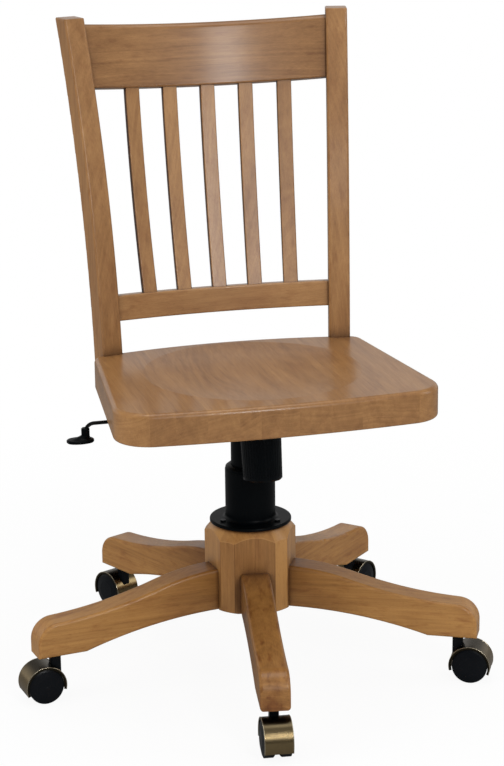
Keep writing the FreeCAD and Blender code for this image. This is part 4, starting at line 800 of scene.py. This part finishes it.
# %% Tension spring
spring_mesh = nodes["tension_spring"].data.copy()
spring_points = np.empty(3 * len(spring_mesh.vertices))
spring_mesh.vertices.foreach_get("co", spring_points)
spring_points = spring_points.reshape(-1, 3)
spring = bpy.data.objects.new("tension_spring_coil", spring_mesh)
scene.collection.objects.link(spring)
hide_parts("tension_spring")
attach(spring, "lift")
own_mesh(spring)

# %% [markdown]
# The hub's arches sit lower on the photographed chair than on the solid, so a numpy surface stands for
# it. Its radius at an angle and a height is the least of three: the pentagon of the wide sides, the
# pentagon of the narrow sides and the turned cone, which also has a small edge at the foot. The surface
# goes up the outside, over the top, down the bore and back under, so it is closed.

# %% Hub with a turned top
NARROW_SIDE = 65.0 * MILLIMETRE
HUB_BORE = 28.0 * MILLIMETRE
HUB_LOW = 98.0 * MILLIMETRE
HUB_TOP = 219.5 * MILLIMETRE
TURNED_RADIUS = 66.3 * MILLIMETRE
FOOT_EDGE = 2.0 * MILLIMETRE
ARCH_FOOT = 200.0 * MILLIMETRE
WIDE_STEPS, NARROW_STEPS, ARCH_ROWS = 50, 20, 50


def pentagon_radius(angle, distance):
    """Distance over the cosine of the angle from the nearest side's middle: a five-sided outline."""
    from_middle = (angle + HUB_TURN / 2.0) % HUB_TURN - HUB_TURN / 2.0
    return distance / np.cos(from_middle)


def hub_points():
    """Rows of points at rising heights round the hub, then the bore's top row and its low row."""
    wide = np.linspace(-WIDE_STAVE_HALF, WIDE_STAVE_HALF, WIDE_STEPS, endpoint=False)
    narrow = np.linspace(WIDE_STAVE_HALF, HUB_TURN - WIDE_STAVE_HALF, NARROW_STEPS, endpoint=False)
    angle = (np.concatenate([wide, narrow])[None, :] + HUB_TURN * np.arange(5)[:, None]).ravel()
    foot_rows = [HUB_LOW, HUB_LOW + FOOT_EDGE / 2.0, HUB_LOW + FOOT_EDGE]
    height = np.concatenate([foot_rows, np.linspace(ARCH_FOOT, HUB_TOP, ARCH_ROWS)])
    foot = TURNED_RADIUS - FOOT_EDGE + (height - HUB_LOW)
    cone = WIDE_SIDE + CONE_SLOPE * (ARCH_TOP - height)
    turned = np.minimum(np.minimum(foot, cone), TURNED_RADIUS)[:, None]
    narrow_sides = pentagon_radius(angle - HUB_TURN / 2.0, NARROW_SIDE)
    sides = np.minimum(pentagon_radius(angle, WIDE_SIDE), narrow_sides)[None, :]
    radius = np.concatenate([np.minimum(turned, sides), np.full((2, len(angle)), HUB_BORE)])
    height = np.concatenate([height, [HUB_TOP, HUB_LOW]])[:, None] + 0.0 * radius
    turn = angle + FRONT_LEG_ANGLE
    return np.stack([radius * np.cos(turn), radius * np.sin(turn), height], -1)


def ring_faces(rows, columns):
    """Quads between neighbours round a row and the same two in the next row; the last row meets the first."""
    row, column = np.meshgrid(np.arange(rows), np.arange(columns), indexing="ij")
    here, above = row * columns, (row + 1) % rows * columns
    after = (column + 1) % columns
    return np.stack([here + column, here + after, above + after, above + column], -1).reshape(-1, 4).tolist()


points = hub_points()
hub_mesh = bpy.data.meshes.new("hub_turned")
hub_mesh.from_pydata(points.reshape(-1, 3).tolist(), [], ring_faces(*points.shape[:2]))
hub_mesh.materials.append(hub_finish)
hub_turned = bpy.data.objects.new("hub_turned", hub_mesh)
scene.collection.objects.link(hub_turned)
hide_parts("hub")
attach(hub_turned, "base")
print("hub rows and columns:", points.shape[:2])
